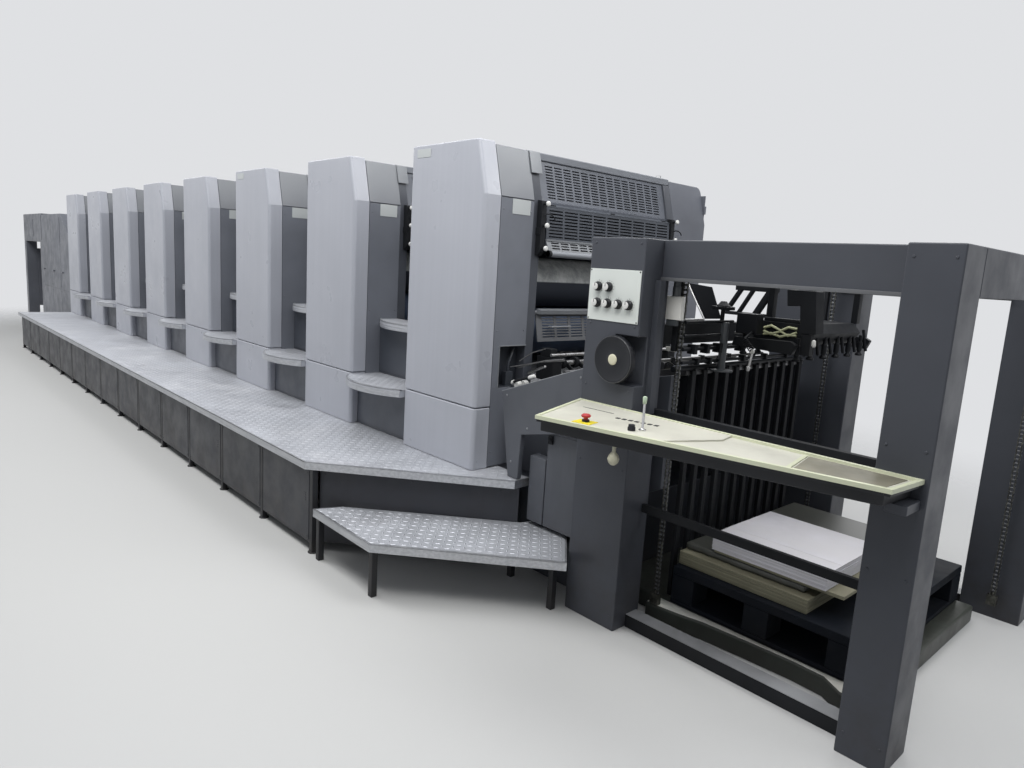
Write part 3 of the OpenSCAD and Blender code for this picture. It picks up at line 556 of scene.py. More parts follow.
# Drive side gear covers. Thick folded doors, rounded along the top, in two leaves per unit with
# a recessed pull, hinge barrels and a louvred field for cooling air.
gear_paint = painted("gear_paint", (0.105, 0.112, 0.132), grime=0.5, streaks=0.25)
eased("drive_housings", gear_paint, 0.004)
LEAF_FACE, PULL_L, BARREL_L, BARREL_IN = BACK + 3, 120, 50, 90
LOUVRE_LOW, LOUVRE_PITCH, LOUVRES, LOUVRE_L = 1280, 26, 9, 205
drive = Metalwork()
for z0, z1 in ((456, 1172), (1180, 2014)):
    mid = (z0 + z1) / 2
    for leaf in ((22, 307), (313, 598)):
        drive.block(leaf, (BACK - 1, LEAF_FACE), (z0, z1))
    for x in (285, 323):
        drive.block((x, x + 12), (LEAF_FACE, BACK + 12), (mid - PULL_L / 2, mid + PULL_L / 2))
    for x in (20, 600):
        for z in (z0 + BARREL_IN, z1 - BARREL_IN):
            drive.rod((x, LEAF_FACE, z - BARREL_L / 2), (x, LEAF_FACE, z + BARREL_L / 2), 7)
for x in (60, 351):
    for z in (LOUVRE_LOW + LOUVRE_PITCH * row for row in range(LOUVRES)):
        drive.slab([(LEAF_FACE, z), (BACK + 10, z + 3), (LEAF_FACE, z + 18)], "x", x, x + LOUVRE_L)
drive.copies(EACH_UNIT).put("gear_cover_leaves", [gear_paint], "housing_grey", ease=0.0015)


# Roof panels. Sheet lids screwed down between the housings, with a steel lifting eye at two
# corners and a flat steel strip behind the front cover's top edge.
def metal(name, rough, colours, grain, sheen=None):
    """Bare metal in two close tones, laid out by grain, its gloss varied by (size, low, high)."""
    finish, tree, shader, place = start_finish(name, rough, metal=1.0)
    tree.links.new(mix_colours(tree, patches(tree, place, *grain), *colours), shader.inputs["Base Color"])
    if sheen:
        size, low, high = sheen
        vary_rough(tree, shader, patches(tree, place, size, 0.3, 0.7, 6.0), low, high)
    return finish


roof_paint = painted("roof_paint", (0.16, 0.17, 0.19), cloudy=0.1, grime=0.0, streaks=0.3)
eased("top_covers", roof_paint, 0.006)
bright_steel = metal("bright_steel", 0.30, ((0.52, 0.52, 0.52), (0.34, 0.335, 0.33)), (14.0, 0.35, 0.75),
                     (30.0, 0.24, 0.46))
EYE_R, EYE_FOOT, EYE_MID, EYE_CREST = 17, 2076, 2097, 2096.0
eyes = Metalwork()
for x, y in ((70, WALL + 26), (500, FAR + 22)):
    eyes.turned((x, y, EYE_FOOT), (0, 0, 1), [(EYE_R, 0), (EYE_R, 6), (11, 8), (8, 12)], 16)
    eyes.pipe([(x + EYE_R * math.sin(t), y, EYE_MID - EYE_R * math.cos(t)) for t in full_turn(14)], 3.6,
              closed=True)
eyes.block((60, 300), (DOOR_D + 4, DOOR_D + 22), (EYE_FOOT - 2, EYE_FOOT + 3))
eyes.copies(EACH_UNIT).placed(lambda x, y, z: (x, y, min(z, EYE_CREST)))
eyes.put("lifting_eyes", [bright_steel], "chain_steel")

# Slotted panels. Sheet punched with rows of short slots, bent over at the top into the roof,
# set between the frames in the plane of the shoulder, with a black sheet behind as painted shade.
LEAN = math.atan2(LEAN_IN, DROP)
PANEL_H = (2037.0 - KINK - 8) / math.cos(LEAN)


def on_shoulder(u, v, w):
    """From along the panel, up its slope and out from it, to press millimetres."""
    s, c = math.sin(LEAN), math.cos(LEAN)
    return (590 - v * s + w * c, u, KINK + 4 + v * c + w * s)


def slotted_sheet(work, move, u, v, w, counts, slot, edge):
    """A sheet with a field of slots punched through it, laid out in (u, v, w) and moved into place."""
    us, vs = [u[0]], [v[0]]
    for line, span, count, size, margin in zip((us, vs), (u, v), counts, slot, edge):
        pitch = (span[1] - span[0] - 2 * margin) / count
        for k in range(count):
            mid = span[0] + margin + pitch * (k + 0.5)
            line += [mid - size / 2, mid + size / 2]
        line.append(span[1])
    across, up = len(us), len(vs)
    back = across * up
    faces = []
    for r in range(up - 1):
        for c in range(across - 1):
            a = r * across + c
            rim = (a, a + 1, a + across + 1, a + across)
            if r % 2 and c % 2:
                faces += [(p, p + back, q + back, q) for p, q in zip(rim, rim[1:] + rim[:1])]
            else:
                faces += [rim, tuple(p + back for p in (rim[0], *rim[:0:-1]))]
    for k in range(across - 1):
        top = (up - 1) * across + k
        faces += [(k, k + back, k + 1 + back, k + 1), (top, top + 1, top + 1 + back, top + back)]
    for k in range(up - 1):
        a, b = k * across, (k + 1) * across
        p, q = a + across - 1, b + across - 1
        faces += [(a, b, b + back, a + back), (p, p + back, q + back, q)]
    work.add([move(a, b, c) for c in w for b in vs for a in us], faces)


guard_paint = painted("guard_paint", (0.052, 0.058, 0.070), grime=0.0, streaks=0.2, shine=0.35)
grille_paint = painted("grille_paint", (0.085, 0.093, 0.112), grime=0.0, streaks=0.2)
ROLL_Z, ROLL_R = 2054, 26
panels = Metalwork()
slotted_sheet(panels, on_shoulder, (INNER + 2, FAR - 2), (0, PANEL_H), (2, 8), (14, 12), (56, 7), (48, 14))
sill = [(shoulder_x(KINK, out), KINK + up) for out, up in ((-34, -14), (-16, -12), (-14, 2), (-30, 8))]
panels.slab(sill, "y", INNER + 2, FAR - 2)
crown = [(530, 2074), (530, 2080)]
crown += [(shoulder_x(2046, -36) + ROLL_R * math.sin(t), ROLL_Z + ROLL_R * math.cos(t))
          for t in (0.3 * k for k in range(5))]
crown += [(shoulder_x(2040, -14), 2046), (shoulder_x(2040, -22), 2040)]
panels.slab(crown, "y", WALL + 2, DRIVE - 2)
# The black sheet behind the slots is painted shade.
panels.finish = 1
panels.merge(Metalwork().block((INNER + 4, FAR - 4), (0, PANEL_H - 6), (-26, -22)).placed(on_shoulder))
panels.copies(EACH_UNIT).put("slotted_panels", [grille_paint, void_black], "guard_grey",
                             stands_for=["grille_panel_1", "grille_panels"])

# Plate guards. Hinged sheet guards with long cooling slots and a pale slotted lip, a grey painted
# bar with black end caps along the bottom to lift them by, hung on a barrel between the frames.
bar_grey = painted("bar_grey", (0.20, 0.21, 0.23), cloudy=0.1, rough=0.5, grime=0.0, streaks=0.3)
HINGE_X, HINGE_Z = 600.0, 1816.0
LIP_LOW, BAR_X, BAR_Z, BAR_R = 1588.0, 665, 1572, 16
CHEEK = [(618, 1806), (634, 1806), (640, 1642), (664, 1590), (650, 1590), (628, 1640)]


def hung_sheet(work, foot, lean, height, counts, slot, edge):
    """A slotted sheet between the frames, rising from its foot and leaning back over its height."""
    slotted_sheet(work, lambda u, v, w: (foot[0] - lean * v / height + w, u, foot[1] + v),
                  (INNER + 8, FAR - 8), (0, height), (0, 5), counts, slot, edge)


def plate_guard():
    work = Metalwork()
    hung_sheet(work, (642, 1641), 12, 166, (9, 9), (100, 7), (14, 10))
    work.slab([(HINGE_X + 4, 1823), (636, 1811), (636, 1806), (HINGE_X + 3, 1816)], "y", INNER + 8, FAR - 8)
    work.finish = 1
    hung_sheet(work, (665, LIP_LOW - 2), 24, 56, (14, 3), (58, 7), (24, 8))
    work.slab([(642, 1637), (652, 1637), (652, 1646), (642, 1644)], "y", INNER + 7, FAR - 7)
    work.finish = 2
    work.rod((BAR_X, INNER + 8, BAR_Z), (BAR_X, FAR - 8, BAR_Z), BAR_R, 20)
    work.finish = 3
    work.turned_at([(BAR_X, y, BAR_Z) for y in (INNER + 8, FAR - 26)],
                   (0, 1, 0), [(BAR_R + 2, 0), (BAR_R + 3, 4), (BAR_R + 3, 14), (BAR_R + 1, 18)], 20)
    work.rod((HINGE_X, INNER + 2, HINGE_Z), (HINGE_X, FAR - 2, HINGE_Z), 8, 14)
    for y in (INNER + 60, (INNER + FAR) / 2, FAR - 60):
        work.block((HINGE_X - 4, 634), (y - 14, y + 14), (1808, 1818))
    work.finish = 0
    for y in (INNER + 8, FAR - 12):
        work.slab(CHEEK, "y", y, y + 4)
    return work


guard_finishes = [guard_paint, lip_paint, bar_grey, void_black]
plate_guard().put("plate_guard_one", guard_finishes, "guard_grey", "guard", ["plate_guard_1"])
other_guards = plate_guard().copies(EACH_UNIT[1:])
other_guards.put("plate_guards_rest", guard_finishes, "guard_grey", stands_for=["plate_guards"])

# Latch plates beside the guards: black cast brackets on the frame with white plastic knobs on
# short stems, and a bent wire hook that holds a raised guard.
knob_white = painted("knob_white", (0.62, 0.62, 0.60), cloudy=0.03, rough=0.35, grime=0.0, streaks=0.05,
                     peel=0.0)
KNOB_HEIGHTS = (1817, 1710, 1597)
HOOK = ((650, 0, 1760), (662, 6, 1768), (672, 22, 1766), (676, 40, 1756), (674, 52, 1742))
bracket = [(shoulder_x(1836, -12), 1836), (shoulder_x(1836, 24), 1832), (646, 1790), (646, 1580), (628, 1560),
           (608, 1560)]
latches = Metalwork()
for y0, y1 in ((352, 384), (FAR + 2, FAR + 34)):
    latches.slab(bracket, "y", y0, y1)
    mid = (y0 + y1) / 2
    for z in KNOB_HEIGHTS:
        latches.rod((640, mid, z), (668, mid, z), 6)
    latches.pipe([(x, mid + dy, z) for x, dy, z in HOOK], 3.5)
    latches.block((608, 640), (y0 - 4, y1 + 4), (1664, 1700))
    latches.finish = 1
    latches.turned_at([(666, mid, z) for z in KNOB_HEIGHTS],
                      (1, 0, 0), [(9, 0), (13, 2), (13.5, 8), (11, 13), (6, 15)], 18)
    latches.finish = 0
latches.copies(EACH_UNIT).put("guard_latches", [void_black, knob_white], "steel_black", ease=0.0015)

# Cylinders and drums. Plate cylinders carry dull aluminium plates between polished bearer rings,
# blanket cylinders blue rubber; impression cylinders and transfer drums are ground steel.
# The plate rolls are dark navy below a fixed height and worn grey above it: painted shade on the lower half
# of each roll and painted light on its upper half, which stay put while the roll turns.
SHADE_LINE_Z = 1.424
plate_metal, tree, shader, place = start_finish("plate_metal", 0.72, specular=0.15)
lit_above_shade_line = by_height(tree, place, SHADE_LINE_Z, SHADE_LINE_Z + 0.006)
worn = patches(tree, place, 16.0, 0.3, 0.7, 8.0, 0.7)
worn = mix_colours(tree, worn, (0.52, 0.53, 0.52), (0.26, 0.27, 0.27))
tree.links.new(mix_colours(tree, lit_above_shade_line, (0.030, 0.034, 0.044), worn), shader.inputs["Base Color"])
blanket_rubber = painted("blanket_rubber", (0.035, 0.055, 0.10), cloudy=0.2, rough=0.6, grime=0.0)
ground_steel = metal("ground_steel", 0.34, ((0.30, 0.31, 0.32), (0.22, 0.22, 0.23)),
                     (60.0, 0.3, 0.7, 3.0, 0.5, (1.0, 0.04, 1.0)))
CYLINDER_R, GROOVE = 135, 8


def cylinder(x, z, radius):
    """A roll between the frames, with a bearer ring and a groove at each end."""
    floor = radius - GROOVE
    ends = [(radius - 3, 0), (radius, 3), (radius, 26), (floor, 28), (floor, 36), (radius - 1.5, 38)]
    width = FAR - INNER - 1
    profile = ends + [(r, width - far) for r, far in reversed(ends)]
    return Metalwork().turned((x, INNER + 0.5, z), (0, 1, 0), profile, 56)


for name, node, x, z, radius, finish, slot, places in (
    ("plate_rolls", "plate_cylinders", 404.4, 1421.0, CYLINDER_R, plate_metal, "cylinder_steel", EACH_UNIT),
    ("blanket_rolls", "blanket_cylinders", 366.6, 1151.6, CYLINDER_R, blanket_rubber, "blanket", EACH_UNIT),
    ("impression_rolls", "impression_cylinders", 275.0, 755.0, 2 * CYLINDER_R, ground_steel, "cylinder_steel",
     EACH_UNIT),
    ("transfer_rolls", "transfer_drums", -325.0, 760.0, 315, ground_steel, "cylinder_steel", EACH_GAP),
):
    cylinder(x, z, radius).copies(places).put(name, [finish], slot, stands_for=[node], sharp=50)

# Ink and damping rollers behind the slotted panels. Steel spindles covered in dark rubber, which
# turn in plain bearings in the side frames.
roller_rubber = painted("roller_rubber", (0.030, 0.032, 0.040), rough=0.35, grime=0.0)
ROLLERS = ((330, 1640, 46), (430, 1700, 52), (520, 1640, 38),
           (250, 1760, 60), (380, 1830, 56), (470, 1870, 40))
SPINDLE_R, SPINDLE_L = 14, FAR - INNER - 2
rollers = Metalwork()
for x, z, r in ROLLERS:
    rollers.turned((x, INNER + 1, z), (0, 1, 0),
                   [(SPINDLE_R, 0), (SPINDLE_R, 24), (r, 26),
                    (r, SPINDLE_L - 26), (SPINDLE_R, SPINDLE_L - 24), (SPINDLE_R, SPINDLE_L)], 28)
rollers.copies(EACH_UNIT).put("ink_rollers", [roller_rubber], "blanket", sharp=50)

# Panels in the gaps. Folded sheet: a riser and a back panel for the walkway between two units, each
# screwed at its corners, and the side covers that close each unit towards the delivery.
gap_paint = painted("gap_paint", (0.050, 0.055, 0.067), grime=0.5, streaks=0.4)
for node in ("transfer_covers", "delivery_side_covers"):
    eased(node, gap_paint, 0.003)
riser_paint = painted("riser_paint", (0.060, 0.067, 0.082), grime=0.5, streaks=0.4)
SCREW_HEAD = [(5, 0), (5, 2), (3, 3)]
wells = Metalwork()
wells.block((-GAP + 20, -20), (46, 51), (500, 728))
wells.turned_at([(x, 46, z) for x in (-GAP + 36, -36) for z in (516, 712)], (0, -1, 0), SCREW_HEAD)
wells.block((-GAP + 14, -14), (196, 201), (806, 1072))
wells.turned_at([(x, 196, 1050) for x in (-GAP + 40, -40)], (0, -1, 0), SCREW_HEAD)
wells.copies(EACH_GAP).put("gap_panels", [riser_paint], "panel_dark", ease=0.0015)

# Steps between the units. Aluminium chequer plate folded over a bowed front, with a polished
# nosing and a two piece fascia; above each, a smaller shelf bowed the same way.
tread_metal, tree, shader, place = start_finish("tread_metal", 0.50, metal=0.5)
base = patches(tree, place, 2.2, 0.3, 0.7, 7.0, 0.65)
base = mix_colours(tree, base, (0.50, 0.515, 0.55), (0.42, 0.43, 0.46))
base = mix_colours(tree, patches(tree, place, 1.1, 0.50, 0.68, 8.0, 0.7), base, (0.60, 0.61, 0.64))
trodden = scaled(tree, patches(tree, place, 3.4, 0.60, 0.74, 9.0, 0.7), 0.45)
tree.links.new(mix_colours(tree, trodden, base, (0.20, 0.195, 0.19)), shader.inputs["Base Color"])
vary_rough(tree, shader, patches(tree, place, 5.0, 0.3, 0.7, 7.0), 0.42, 0.62)
edge_metal = metal("aluminium", 0.42, ((0.50, 0.51, 0.53), (0.40, 0.41, 0.43)),
                   (90.0, 0.3, 0.7, 3.0, 0.5, (0.05, 1.0, 1.0)), (12.0, 0.34, 0.56))
CREST, BOW, BENDS = 1.6, 100, 18


def inside(x, y, outline):
    """Whether a place lies inside an outline."""
    hit = False
    for (xa, ya), (xb, yb) in zip(outline, outline[1:] + outline[:1]):
        if (ya > y) != (yb > y) and x < (xb - xa) * (y - ya) / (yb - ya) + xa:
            hit = not hit
    return hit


def chequer(work, outline, top, pitch, margin, length=23.0, width=7.5, proud=CREST):
    """The raised bars of chequer plate, laid both ways by turns inside an outline."""
    xs, ys = [p[0] for p in outline], [p[1] for p in outline]
    corners = [(math.cos(t) * margin, math.sin(t) * margin) for t in (0.8, 2.4, 3.9, 5.5)]
    bar = [(-length / 2, 0, 0), (-length / 5, -width / 2, 0), (length / 5, -width / 2, 0),
           (length / 2, 0, 0), (length / 5, width / 2, 0), (-length / 5, width / 2, 0),
           (-length / 4, 0, proud), (length / 4, 0, proud)]
    for i in range(int((max(xs) - min(xs)) / pitch) + 1):
        for j in range(int((max(ys) - min(ys)) / pitch) + 1):
            x, y = min(xs) + pitch * (i + 0.5), min(ys) + pitch * (j + 0.5)
            if all(inside(x + dx, y + dy, outline) for dx, dy in corners):
                turn = math.radians(45 if (i + j) % 2 else 135)
                c, s = math.cos(turn), math.sin(turn)
                work.add([(x + c * a - s * b, y + s * a + c * b, top + up) for a, b, up in bar],
                         [(0, 1, 6), (1, 2, 7, 6), (2, 3, 7), (3, 4, 7), (4, 5, 6, 7), (5, 0, 6)])


def bowed(y0, y1):
    """The bowed front edge of a plate between two units, and the plate's plan."""
    r = ((GAP / 2) ** 2 + BOW * BOW) / (2 * BOW)
    half = math.asin(GAP / 2 / r)
    arc = [(-GAP / 2 + r * math.sin(t), y0 - BOW + r - r * math.cos(t))
           for t in (half * (2 * k / BENDS - 1) for k in range(BENDS + 1))]
    return arc, [*arc, (0, y1), (-GAP, y1)]


def strip(arc, ahead, behind, aside=0.0):
    """A thin strip that follows a bowed edge."""
    return [(x + aside, y - ahead) for x, y in arc] + [(x + aside, y + behind) for x, y in reversed(arc)]


STEP_TOP, STEP_T, MIDDLE = 788.0, 45.0, BENDS // 2
arc, plan = bowed(-25, 220)
steps = Metalwork()
steps.slab(plan, "z", STEP_TOP - STEP_T + 1, STEP_TOP - CREST)
chequer(steps, plan, STEP_TOP - CREST, 30, 20)
steps.finish = 1
steps.slab(strip(arc, 0, 13), "z", STEP_TOP - 7, STEP_TOP)
for half_arc, aside in ((arc[:MIDDLE + 1], -0.8), (arc[MIDDLE:], 0.8)):
    steps.slab(strip(half_arc, 2.5, 3, aside), "z", STEP_TOP - 41, STEP_TOP - 12)
tread_finishes = [tread_metal, edge_metal]
steps.copies(EACH_GAP).put("unit_step_treads", tread_finishes, "tread", stands_for=["unit_steps"], sharp=35)
arc, plan = bowed(200, WALL)
SHELF_LOW, SHELF_TOP = 1086, 1126
shelves = Metalwork()
shelves.slab(plan, "z", SHELF_LOW, SHELF_TOP)
shelves.finish = 1
shelves.slab(strip(arc, 0, 9), "z", SHELF_TOP - 6, SHELF_TOP + 4)
for z in (SHELF_LOW + 4, SHELF_LOW + 18):
    shelves.slab(strip(arc, 2.2, 2), "z", z, z + 7)
shelves.copies(EACH_GAP).put("unit_shelves", tread_finishes, "ledge_alu", stands_for=["inner_ledges"],
                             sharp=35)

# Operator platform. Chequer plate folded down at its edges over an angle frame, in bays as long
# as a unit; legs of square tube on pads, with dark sheet skirts set in between them.
deck_plan = [(-8400, -618), (67, -618), (864, 76), (857, 180), (-8400, 180)]
black_paint = painted("black_paint", (0.018, 0.019, 0.022), cloudy=0.2, rough=0.45, grime=0.6, shine=0.3)
FOLD, FOLD_T, JOINT = 40, 9, 1.2


def folded_edge(work, corners, top, joint=0.0):
    """The plate's edge folded down along a row of corners, jointed at every unit."""
    for (xa, ya), (xb, yb) in zip(corners, corners[1:]):
        run = math.hypot(xb - xa, yb - ya)
        nx, ny = -(yb - ya) / run * FOLD_T, (xb - xa) / run * FOLD_T
        count = max(1, round(run / PITCH))
        for k in range(count):
            p, q = k / count, (k + 1) / count - joint / run
            ax, ay, bx, by = xa + (xb - xa) * p, ya + (yb - ya) * p, xa + (xb - xa) * q, ya + (yb - ya) * q
            work.slab([(ax, ay), (bx, by), (bx + nx, by + ny), (ax + nx, ay + ny)], "z", top - FOLD, top)


deck = Metalwork()
deck.slab(deck_plan, "z", DECK - 5, DECK - CREST)
chequer(deck, deck_plan, DECK - CREST, 34, 16, length=24)
deck.finish = 1
folded_edge(deck, deck_plan[:4], DECK, JOINT)
deck.put("platform_treads", tread_finishes, "tread", stands_for=["platform_deck"], sharp=35)
eased("platform_frame", black_paint, 0.002)
skirt_paint = painted("skirt_paint", (0.028, 0.030, 0.037), grime=0.7, grime_top=0.45, streaks=0.5,
                      shine=0.35)
eased("skirt_panels", skirt_paint, 0.002)
LEG_X, LEG_STEP, LEG, LEGS = 70.0, 600.0, 30.0, 15
SKIRT_Y, SKIRT_Z, SCREW_Z = -590.5, (62, 428), (78, 412)
SMALL_HEAD, FOOT_PAD = [(4.5, 0), (4.5, 1.6), (3, 2.4)], [(27, 0), (27, 5), (12, 8), (12, 22)]
skirts = Metalwork()
for i in range(1, LEGS):
    x0 = LEG_X - LEG_STEP * i + LEG + 8
    x1 = x0 + LEG_STEP - LEG - 16
    skirts.block((x0, x1), (SKIRT_Y, -588), SKIRT_Z)
    skirts.turned_at([(x, SKIRT_Y, z) for x in (x0 + 14, x1 - 14) for z in SCREW_Z],
                     (0, -1, 0), SMALL_HEAD, 8)
    if i % 2:
        for z in (262, 275, 288, 301):
            skirts.block((x1 - 52, x1 - 34), (SKIRT_Y - 2, -590), (z, z + 5))
skirts.finish = 1
pads = [(LEG_X - LEG_STEP * i + LEG / 2, y, 0) for i in range(LEGS) for y in (-575, -45)]
pads += [(UNIT_W / 2 - PITCH * i + LEG / 2, 2407, 0) for i in range(UNITS)]
skirts.turned_at(pads, (0, 0, 1), FOOT_PAD, 14)
skirts.finish = 0
(xa, ya), (xb, yb) = deck_plan[1:3]
turn = math.atan2(yb - ya, xb - xa)
c, s = math.cos(turn), math.sin(turn)
slant = Metalwork().block((75, 1000), (-0.5, 2), SKIRT_Z)
slant.turned_at([(x, -0.5, z) for x in (88, 540, 987) for z in SCREW_Z], (0, -1, 0), SMALL_HEAD, 8)
skirts.merge(slant.placed(lambda x, y, z: (xa + x * c - (y + 45) * s, ya + x * s + (y + 45) * c, z)))
skirts.put("skirt_sheets", [skirt_paint, black_paint], "panel_dark", ease=0.001)

# Low step round the slanted end of the platform. The same chequer plate folded down at its edges,
# screwed to a frame on four thin legs.
LOW_TOP = 260.0
low_plan = [(154, -614), (688, -618), (1331, -30), (1101, 210),
            (880, 210), (860, 130), (527, -173), (200, -480)]
low = Metalwork()
low.slab(low_plan, "z", LOW_TOP - 6, LOW_TOP - CREST)
chequer(low, low_plan, LOW_TOP - CREST, 34, 16, length=25, width=8, proud=2.0)
low.finish = 1
folded_edge(low, [low_plan[-1], *low_plan[:4]], LOW_TOP)
low.put("low_step_tread", tread_finishes, "tread", stands_for=["lower_step_deck"], sharp=35)
eased("lower_step_frame", black_paint, 0.002)

# Walkway along the drive side. The same chequer plate in one run, with its outer edge and both
# ends folded down.
WALK_X, WALK_Y = (-8400, 620), (1850, 2450)
walk_plan = [(WALK_X[0], WALK_Y[0]), (WALK_X[1], WALK_Y[0]), (WALK_X[1], WALK_Y[1]), (WALK_X[0], WALK_Y[1])]
walk = Metalwork()
walk.slab(walk_plan, "z", DECK - 5, DECK - CREST)
chequer(walk, walk_plan, DECK - CREST, 42, 18, length=28, width=9)
walk.finish = 1
walk.block(WALK_X, (WALK_Y[1] - FOLD_T, WALK_Y[1]), (DECK - FOLD, DECK))
for x in (WALK_X[0], WALK_X[1] - FOLD_T):
    walk.block((x, x + FOLD_T), (WALK_Y[0], WALK_Y[1] - FOLD_T), (DECK - FOLD, DECK))
walk.put("drive_walk_treads", tread_finishes, "tread", stands_for=["drive_platform"], sharp=35)

# Infeed. Side covers with a pale top edge, worn and with a painted highlight, and a pull, two small doors
# with a latch below, and the sloping feedboard with its tapes, wheels and cross shafts between the frames.
infeed_paint = painted("infeed_paint", (0.066, 0.071, 0.083), grime=0.7, streaks=0.5)
for node in ("infeed_side_covers", "infeed_doors"):
    eased(node, infeed_paint, 0.004)
# The pale rod on each cover's top edge is wear and a painted highlight.
trims = Metalwork()
trims.pipe([(704, 103, 893), (1254, 103, 1092)], 3.0)
trims.turned_at([(x, 100, z) for x, z in ((745, 880), (800, 560), (1215, 1040), (1215, 820), (900, 745))],
                (0, -1, 0), [(6, 0), (6, 2), (4, 3)])
trims.put("infeed_edges", [lip_paint], "guard_grey")
latch = Metalwork()
latch.block((1004, 1030), (140, 151), (690, 730))
latch.turned((1017, 141, 710), (0, -1, 0), [(9, 0), (9, 4), (6, 6)], 12)
for z in (330, 620):
    latch.rod((1246, 146, z - 22), (1246, 146, z + 22), 6)
latch.pipe([(722, 160, 938), (760, 150, 952), (800, 146, 966), (838, 152, 978)], 7, 10)
latch.finish = 1
latch.turned((704, 164, 930), (1, -0.1, 0.38), [(8, 0), (11, 5), (11, 18), (8, 23)], 16)
latch.turned((836, 152, 976), (1, 0.1, 0.38), [(9, 0), (11, 4), (11, 34), (7, 39)], 16)
latch.put("infeed_latch_and_pull", [void_black, knob_white], "steel_black")
board_steel = metal("board_steel", 0.36, ((0.20, 0.20, 0.205), (0.12, 0.12, 0.12)), (8.0, 0.3, 0.7, 7.0))
tape_white = painted("tape_white", (0.42, 0.42, 0.38), cloudy=0.1, rough=0.7, grime=0.0)
BOARD_A, BOARD_B = (660.0, 900.0), (1550.0, 1120.0)
RISE = math.atan2(BOARD_B[1] - BOARD_A[1], BOARD_B[0] - BOARD_A[0])
SHAFTS, OVER = (0.22, 0.40, 0.58, 0.76), 46


def on_board(along, over):
    """A point along the feedboard, from 0 at the first unit to 1 at the feeder, and above it."""
    x = BOARD_A[0] + (BOARD_B[0] - BOARD_A[0]) * along
    z = BOARD_A[1] + (BOARD_B[1] - BOARD_A[1]) * along
    return x - over * math.sin(RISE), z + over * math.cos(RISE)


board = Metalwork()
board.slab([on_board(*spot) for spot in ((0, -35), (1, -35), (1, 0), (0, 0))], "y", INNER + 0.5, FAR - 0.5)
for along, over, r, sides in ((0.02, -8, 16, 18), (0.985, -8, 16, 18), *((a, OVER, 8, 12) for a in SHAFTS)):
    x, z = on_board(along, over)
    board.rod((x, INNER + 1, z), (x, FAR - 1, z), r, sides)
board.finish = 1
tape = [on_board(*spot) for spot in ((0.02, 0), (0.98, 0), (0.98, 2.5), (0.02, 2.5))]
for y in (INNER + 100 + 123 * k for k in range(8)):
    board.slab(tape, "y", y, y + 30)
board.finish = 2
for along in SHAFTS:
    x, z = on_board(along, OVER)
    x2, z2 = on_board(along - 0.06, 22)
    for y in (INNER + 208 + 246 * k for k in range(4)):
        board.block((x - 11, x + 11), (y, y + 22), (z - 12, z + 12))
        board.rod((x, y + 11, z), (x2, y + 11, z2), 5)
        board.turned((x2, y, z2), (0, 1, 0), [(18, 0), (20, 2), (20, 20), (18, 22)])
board.put("feedboard_and_tapes", [board_steel, tape_white, void_black], "board_steel",
          stands_for=["feedboard"])

# Guard over the low end of the feedboard: a small slotted sheet hung from a pale bar, with the
# cocked end piece and the short pull that show under the first unit's plate guard.
hanging_grey = painted("hanging_grey", (0.098, 0.101, 0.108), grime=0.0, streaks=0.2)
low_guard = Metalwork()
hung_sheet(low_guard, (629, 1120), 30, 148, (9, 8), (90, 7), (30, 16))
low_guard.finish = 1
low_guard.rod((598, INNER + 1, 1270), (598, FAR - 1, 1270), 12, 16)
low_guard.slab([(600, 1262), (632, 1262), (636, 1282), (604, 1290)], "y", INNER + 14, FAR - 14)
low_guard.pipe([(632, 470, 1196), (650, 474, 1198), (654, 500, 1198), (654, 590, 1198), (650, 612, 1198),
                (632, 616, 1196)], 6)
low_guard.put("infeed_guard_sheet", [hanging_grey, lip_paint], "guard_grey", stands_for=["infeed_guard"])

# Register gear at the low end of the feedboard: side blocks, a cross shaft with cams and small
# levers, oily black, with a few bright rods and white rollers.
dull_steel = metal("dull_steel", 0.42, ((0.20, 0.20, 0.20), (0.10, 0.10, 0.10)), (14.0, 0.35, 0.75))
register = Metalwork()
for y0, y1 in ((INNER + 4, INNER + 70), (FAR - 70, FAR - 4)):
    register.block((640, 760), (y0, y1), (930, 1050))
    register.block((660, 730), (y0 + 8, y1 - 8), (1050, 1092))
for y in (INNER + 130 + 100 * k for k in range(9)):
    register.turned((690, y, 1010), (0, 1, 0), [(30, 0), (30, 22)])
    register.slab([(690, 1000), (770, 960), (778, 972), (700, 1024)], "y", y + 26, y + 34)
register.finish = 1
register.rod((690, INNER + 5, 1010), (690, FAR - 5, 1010), 14, 14)
register.rod((742, INNER + 5, 1062), (742, FAR - 5, 1062), 9)
register.rod((640, WALL + 10, 960), (760, WALL + 10, 1010), 7)
register.finish = 3
register.pipe([(700, 150, 1010), (820, 160, 1040), (930, 168, 1072), (1040, 172, 1092)], 3.5)
register.pipe([(690, 210, 1000), (840, 216, 1050), (1000, 220, 1078)], 3.5)
register.pipe([(720, 190, 1040), (800, 200, 1092), (880, 205, 1120)], 3.0)
register.finish = 2
register.turned_at([(640, y, 905) for y in (250, 300)], (0, 1, 0), [(16, 0), (18, 3), (18, 26), (14, 30)], 18)
register.put("register_gear", [void_black, bright_steel, knob_white, dull_steel], "steel_black", ease=0.002)

